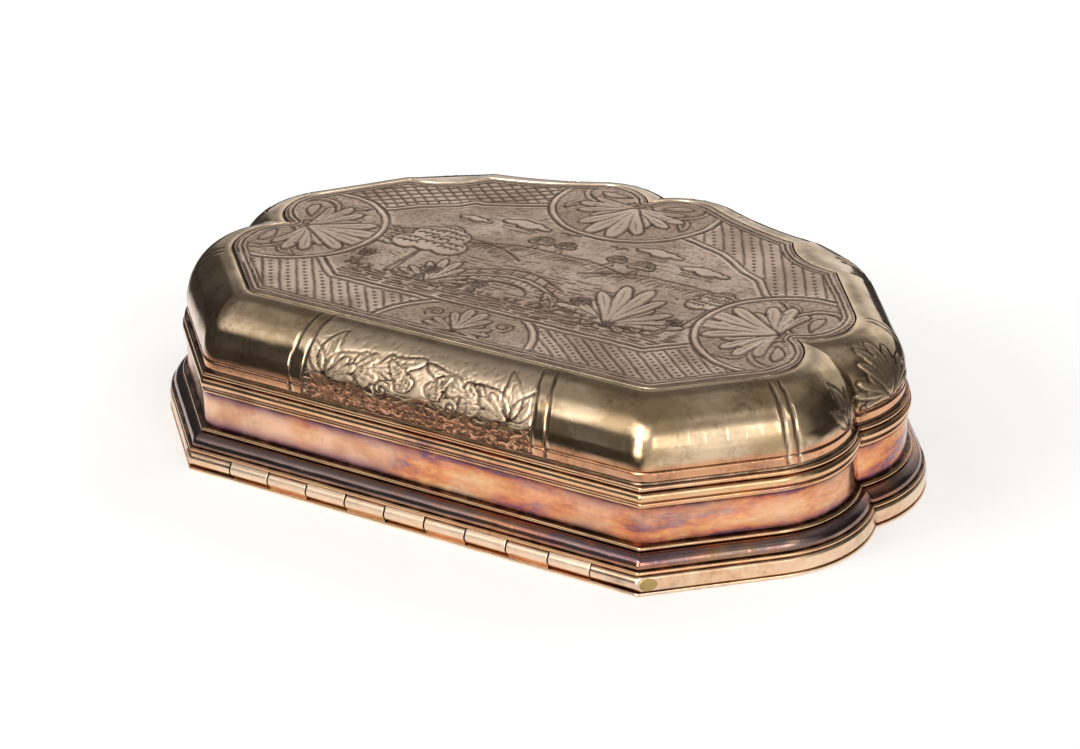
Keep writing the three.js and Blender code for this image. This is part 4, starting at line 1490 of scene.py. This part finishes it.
def build_plug(side):
    """A brass plug, trimmed flush with the slanting edge of the lid."""
    shape = bmesh.new()
    add_masks(shape, ("groove", "polish"))
    bmesh.ops.create_cone(shape, cap_ends=True, segments=48, radius1=PLUG_RADIUS,
                          radius2=PLUG_RADIUS, depth=PLUG_LENGTH)
    turn = Matrix.Rotation(math.radians(90), 4, "Y")
    bmesh.ops.transform(shape, matrix=turn, verts=shape.verts)
    bmesh.ops.translate(shape, verts=shape.verts,
                        vec=(PLUG_START_X + PLUG_LENGTH / 2, HINGE_Y, HINGE_Z))
    edge = rim_point((*NEAR_LOBE[:2], NEAR_LOBE[2] + LID_RIM_REACH + 0.06), NEAR_SIDE_HEADING)
    bmesh.ops.bisect_plane(
        shape, geom=shape.verts[:] + shape.edges[:] + shape.faces[:], dist=1e-5,
        plane_co=(*edge, 0), plane_no=(*heading_normal(NEAR_SIDE_HEADING), 0), clear_outer=True,
    )
    close_holes(shape)
    ease_edges(shape, [
        edge for edge in shape.edges
        if edge.calc_face_angle(0) > 0.5 and min(vert.co.x for vert in edge.verts) > 29
    ], 0.05)
    if side < 0:
        bmesh.ops.scale(shape, vec=(-1, 1, 1), verts=shape.verts)
    for vert in shape.verts:
        vert.co = to_frame(vert.co)
    name = "right" if side > 0 else "left"
    as_piece(shape, f"hinge_plug_{name}", "lid", "Plug Brass", f"pin_plug_{name}", 40)


# Stage

# Azimuth and level of the lights that the metal mirrors, all round from behind
HIGH_BOXES = (
    (-180, 0.16), (-100, 0.14), (-66, 0.26), (-48, 0.7), (-38, 1.3), (-28, 2.3), (-18, 3.6),
    (14, 3.6), (34, 2.2), (48, 0.75), (58, 0.45), (70, 0.45), (84, 1.8), (92, 0.16), (180, 0.16),
)
LOW_BOXES = (
    (-180, 0.9), (-138, 0.9), (-128, 0.1), (-100, 0.05), (-34, 0.07), (-20, 0.3), (10, 0.7),
    (46, 0.9), (52, 1.15), (70, 1.15), (86, 0.5), (104, 0.08), (146, 0.05), (158, 0.45),
    (172, 0.6), (178, 0.9),
)
WINDOWS = (
    (-180, 0.0), (50, 0.0), (54.5, 4.4), (57.5, 4.0), (60.4, 0.6), (62.4, 0.6), (65, 4.0),
    (70, 4.4), (77, 0.0), (180, 0.0),
)
CORNER_LIGHT = ((-180, 0.0), (-16, 0.0), (-6, 7.0), (8, 7.0), (18, 0.0), (180, 0.0))
DARK_ROOM = (0.05, 0.048, 0.044, 1)
DARK_FLOOR = (0.06, 0.055, 0.05, 1)
WHITE = (1, 1, 1, 1)


def way_to(azimuth, elevation):
    """The way to a place round the box."""
    turn, rise = math.radians(azimuth), math.radians(elevation)
    return Vector((math.sin(turn) * math.cos(rise), -math.cos(turn) * math.cos(rise),
                   math.sin(rise)))


def place_camera(stage):
    """The camera at the photograph's viewing angle."""
    back = way_to(stage.azimuth, stage.elevation)
    turn, roll = math.radians(stage.azimuth), math.radians(stage.roll)
    right = Vector((math.cos(turn), math.sin(turn), 0))
    up = back.cross(right)
    data = bpy.data.cameras.new("camera")
    data.lens = stage.lens
    data.sensor_width = 36.0
    data.clip_start, data.clip_end = 0.01, 20.0
    axes = Matrix((right * math.cos(roll) - up * math.sin(roll),
                   right * math.sin(roll) + up * math.cos(roll), back)).transposed().to_4x4()
    spot = to_frame(right * 0.72 + up * 7.35 + back * stage.distance)
    camera = new_object("camera", data)
    camera.matrix_world = Matrix.Translation(spot) @ axes
    bpy.context.scene.camera = camera


def lay_floor(stage):
    """Paper that is white to the camera, and dark in reflections away from the box."""
    shape = bmesh.new()
    bmesh.ops.create_grid(shape, x_segments=2, y_segments=2, size=0.6)
    mesh = bpy.data.meshes.new("floor")
    shape.to_mesh(mesh)
    shape.free()
    paper = bpy.data.materials.new("White Paper")
    paper.use_nodes = True
    mesh.materials.append(paper)
    nodes = Nodes(paper.node_tree)
    seen, place = nodes.add("LightPath").outputs, nodes.here()
    grain = nodes.ramp(nodes.noise(place, 60.0, 4.0, 0.55),
                       [(0.0, screen(228, 228, 228)), (1.0, screen(234, 234, 234))])

    def vector(operation, *values):
        return nodes.add("VectorMath", dict(enumerate(values)), operation=operation).outputs

    reach = vector("LENGTH", vector("MULTIPLY", place, (1.0, 1.35, 0.0))[0])["Value"]
    toward_lamp = vector("DOT_PRODUCT", vector("NORMALIZE", place)[0], (0.87, -0.5, 0.0))["Value"]
    # In reflections the paper is painted dark away from the box, with a painted pool of light
    # toward the side lamp.
    near = nodes.spread(reach, 0.066, 0.1, 1.0, 0.0)
    lit = nodes.spread(toward_lamp, 0.82, 0.95, 0.0, 0.85)
    shaded = nodes.maths("SUBTRACT", 1.0, nodes.maths("MAXIMUM", near, lit))
    dimmed = nodes.times(seen["Is Glossy Ray"], shaded)
    direct = nodes.maths("MAXIMUM", seen["Is Camera Ray"],
                         nodes.maths("SUBTRACT", seen["Is Glossy Ray"], dimmed))
    nodes.feed(paper.node_tree.nodes["Principled BSDF"], {
        "Roughness": 0.9, "Specular IOR Level": 0.0, "Emission Color": WHITE,
        "Base Color": nodes.blend(dimmed, grain, DARK_FLOOR),
        "Emission Strength": nodes.times(direct, stage.floor_glow),
    })
    new_object("floor", mesh)


def hang_lamps(stage):
    """Soft boxes that light the box and stay out of its reflections."""
    for name, azimuth, elevation, distance, size, power in (
        ("key_softbox", -34, 30, 0.62, (0.34, 0.2), stage.key_power),
        ("side_softbox", 62, 34, 0.66, (0.26, 0.2), stage.side_power),
        ("back_softbox", 168, 42, 0.7, (0.5, 0.22), stage.back_power),
    ):
        data = bpy.data.lights.new(name, "AREA")
        data.shape = "RECTANGLE"
        data.size, data.size_y = size
        data.energy = power
        lamp = new_object(name, data)
        lamp.visible_glossy = False
        way = way_to(azimuth, elevation)
        lamp.location = way * distance
        lamp.rotation_mode = "QUATERNION"
        lamp.rotation_quaternion = way.to_track_quat("Z", "Y")


def furnish_room(stage):
    """The world: white to the camera, soft light, and a studio for the metal to mirror."""
    world = bpy.data.worlds.new("studio")
    world.use_nodes = True
    world.node_tree.nodes.clear()
    nodes = Nodes(world.node_tree)
    seen = nodes.add("LightPath").outputs
    way = nodes.add("TexCoord").outputs["Generated"]
    parts = nodes.add("SeparateXYZ", {"Vector": way}).outputs
    turn = nodes.maths("ARCTAN2", parts["X"], nodes.times(parts["Y"], -1.0))
    turn = nodes.maths("MULTIPLY_ADD", turn, 0.5 / math.pi, 0.5)

    def above(low, high, to_low=0.0, to_high=1.0):
        low, high = (math.sin(math.radians(angle)) for angle in (low, high))
        return nodes.spread(parts["Z"], low, high, to_low, to_high)

    def lights(kind, *inputs):
        return nodes.add(kind, dict(enumerate(inputs))).outputs[0]

    room = DARK_ROOM
    for (low, high, top, end), boxes, mode in (
        ((20, 34, 46, 60), HIGH_BOXES, "MIX"), ((-30, -12, 26, 40), LOW_BOXES, "LIGHTEN"),
        ((6, 13, 24, 32), WINDOWS, "LIGHTEN"), ((-8, 4, 48, 58), CORNER_LIGHT, "LIGHTEN"),
    ):
        between = nodes.times(above(low, high), above(top, end, 1.0, 0.0))
        shown = nodes.ramp(turn, [(0.5 + azimuth / 360, (level, level, level * 0.985, 1))
                                  for azimuth, level in boxes])
        room = nodes.blend(between, room, shown, mode)
    room = nodes.blend(1.0, room, above(42, 60, 0.0, 0.3), "ADD")
    mirrored = nodes.maths("MAXIMUM", seen["Is Glossy Ray"], seen["Is Transmission Ray"])
    soft = lights("Background", (1.0, 0.995, 0.985, 1), stage.ambient)
    indirect = lights("MixShader", mirrored, soft, lights("Background", room))
    direct = lights("Background", WHITE)
    nodes.add("OutputWorld", {
        "Surface": lights("MixShader", seen["Is Camera Ray"], indirect, direct)
    })
    bpy.context.scene.world = world


# Settings

def number(name, description, default, **more):
    return bpy.props.FloatProperty(name=name, description=description, default=default, **more)


def tint(name, description, *default):
    return bpy.props.FloatVectorProperty(
        name=name, description=description, subtype="COLOR", size=4, min=0, max=1,
        default=screen(*default),
    )


class SnuffBoxSizes(bpy.types.PropertyGroup):
    """How finely the pieces are made and how deep the engraving is, in millimetres."""

    plate_grid: number(
        "Plate Grid", "Spacing of the engraved base plate's mesh, in mm", 0.18, min=0.1, max=1.0)
    shoulder_grid: number(
        "Shoulder Grid", "Spacing of the shoulder's mesh round the box, in mm", 0.225,
        min=0.12, max=1.0)
    moulding_grid: number(
        "Moulding Grid", "Spacing of the mouldings' meshes round the box, in mm", 0.4,
        min=0.2, max=2.0)
    shoulder_ease: number(
        "Shoulder Ease", "Rounding of the shoulder's two front corners, in mm", 1.5,
        min=0.1, max=3.0)
    cut_depth: number(
        "Cut Depth", "Depth of the deepest engraved line, in mm", 0.11, min=0.0, max=0.3)


class SnuffBoxColours(bpy.types.PropertyGroup):
    """Colours of the metals."""

    engraved_copper: tint(
        "Engraved Copper", "Copper of the base plate, its gilding worn off", 214, 185, 164)
    gilt_brass: tint("Gilt Brass", "Brownish gilding of the shoulder", 228, 200, 166)
    bare_copper: tint("Bare Copper", "Copper of the waist, band and mouldings", 242, 196, 164)
    pale_gilt: tint("Pale Gilt", "Pale gilding of the lid's edge and the hinge", 234, 202, 164)
    plug_brass: tint("Plug Brass", "Yellow brass of the hinge plugs", 178, 156, 100)
    # Worn Edge is rubbed metal with painted highlights; Grime is dirt with painted shade in cuts
    # and creases.
    worn_edge_and_highlight: tint("Worn Edge And Highlight", "Bright metal where hands have rubbed the edges, and painted highlights", 236, 196, 150)
    grime: tint("Grime", "Dark dirt and painted shade in the cuts and hollows", 62, 42, 34)


class SnuffBoxStage(bpy.types.PropertyGroup):
    """Camera and lamps."""

    azimuth: number("Azimuth", "Camera's turn round the box, in degrees", 31.71)
    elevation: number("Elevation", "Camera's height above the floor, in degrees", 25.16)
    roll: number("Roll", "Camera's roll, in degrees", 0.7)
    distance: number("Distance", "Camera's distance from the box, in mm", 368.3)
    lens: number("Lens", "Focal length on a 36 mm sensor, in mm", 100.63)
    key_power: number("Key Power", "Power of the front softbox", 1.2, unit="POWER")
    side_power: number("Side Power", "Power of the side softbox", 0.7, unit="POWER")
    back_power: number("Back Power", "Power of the back softbox", 0.8, unit="POWER")
    ambient: number("Ambient", "Soft light from all round", 0.55, min=0, max=2)
    floor_glow: number(
        "Floor Glow", "Keeps the floor white where no shadow falls", 0.35, min=0, max=1)


# Operators

class SNUFFBOX_OT_stage(bpy.types.Operator):
    """Set up the camera, the floor, the lamps and the room"""

    bl_idname = "snuffbox.stage"
    bl_label = "Stage"

    def execute(self, context):
        context.scene.view_settings.view_transform = "Standard"
        for build in (place_camera, lay_floor, hang_lamps, furnish_room):
            build(context.scene.snuff_box_stage)
        return {"FINISHED"}


class SNUFFBOX_OT_finishes(bpy.types.Operator):
    """Make the finishes that the pieces use"""

    bl_idname = "snuffbox.finishes"
    bl_label = "Finishes"

    def execute(self, context):
        make_group("Rainbow Tarnish", {"Scale": 120.0, "Amount": 0.5}, rainbow_tarnish)
        make_group("Settled Grime", {"Strength": 1.0}, grime_wear_and_painted_light)
        make_group("Handling Marks", {"Scratches": 0.5, "Dents": 0.5}, handling_marks)
        for name in METALS:
            old_metal(name, context.scene.snuff_box_colours)
        return {"FINISHED"}


class SNUFFBOX_OT_base_plate(bpy.types.Operator):
    """Engrave the base plate"""

    bl_idname = "snuffbox.base_plate"
    bl_label = "Base Plate"

    def execute(self, context):
        build_base_plate(context.scene.snuff_box_sizes)
        return {"FINISHED"}


class SNUFFBOX_OT_shoulder(bpy.types.Operator):
    """Raise and engrave the shoulder"""

    bl_idname = "snuffbox.shoulder"
    bl_label = "Shoulder"

    def execute(self, context):
        build_shoulder(context.scene.snuff_box_sizes)
        return {"FINISHED"}


class SNUFFBOX_OT_mouldings(bpy.types.Operator):
    """Draw the mouldings, the plain band and the mouth rim of the case"""

    bl_idname = "snuffbox.mouldings"
    bl_label = "Case Mouldings"

    def execute(self, context):
        build_case_mouldings(context.scene.snuff_box_sizes)
        return {"FINISHED"}


class SNUFFBOX_OT_lid(bpy.types.Operator):
    """Make the lid's sheet, edge strip and flange"""

    bl_idname = "snuffbox.lid"
    bl_label = "Lid"

    def execute(self, context):
        for build in (build_lid_plate, build_lid_rim, build_lid_bezel):
            build(context.scene.snuff_box_sizes)
        return {"FINISHED"}


class SNUFFBOX_OT_hinge(bpy.types.Operator):
    """Make the hinge knuckles and plugs, and finish the pin"""

    bl_idname = "snuffbox.hinge"
    bl_label = "Hinge"

    def execute(self, context):
        for place in range(KNUCKLE_COUNT):
            build_knuckle(place)
        for side in (-1, 1):
            build_plug(side)
        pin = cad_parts["hinge_pin"].data
        pin.materials.clear()
        pin.materials.append(bpy.data.materials["Pin Steel"])
        return {"FINISHED"}


SETTINGS = {
    "snuff_box_sizes": SnuffBoxSizes,
    "snuff_box_colours": SnuffBoxColours,
    "snuff_box_stage": SnuffBoxStage,
}
OPERATORS = (
    SNUFFBOX_OT_stage, SNUFFBOX_OT_finishes, SNUFFBOX_OT_base_plate, SNUFFBOX_OT_shoulder,
    SNUFFBOX_OT_mouldings, SNUFFBOX_OT_lid, SNUFFBOX_OT_hinge,
)


class SNUFFBOX_PT_panel(bpy.types.Panel):
    """Lists the steps and settings of the snuff box"""

    bl_idname = "SNUFFBOX_PT_panel"
    bl_label = "Snuff Box"
    bl_space_type = "VIEW_3D"
    bl_region_type = "UI"
    bl_category = "Snuff Box"

    def draw(self, context):
        for operator in OPERATORS:
            self.layout.operator(operator.bl_idname)
        for settings in SETTINGS:
            group = getattr(context.scene, settings)
            box = self.layout.box()
            for name in group.bl_rna.properties.keys():
                if name not in ("rna_type", "name"):
                    box.prop(group, name)


CLASSES = (*SETTINGS.values(), *OPERATORS, SNUFFBOX_PT_panel)


def register():
    for cls in CLASSES:
        bpy.utils.register_class(cls)
    for name, group in SETTINGS.items():
        setattr(bpy.types.Scene, name, bpy.props.PointerProperty(type=group))


def unregister():
    for name in SETTINGS:
        delattr(bpy.types.Scene, name)
    for cls in reversed(CLASSES):
        bpy.utils.unregister_class(cls)


def main():
    register()
    steps = bpy.ops.snuffbox
    for step in (steps.stage, steps.finishes, steps.base_plate, steps.shoulder,
                 steps.mouldings, steps.lid, steps.hinge):
        step()


if __name__ == "__main__":
    main()
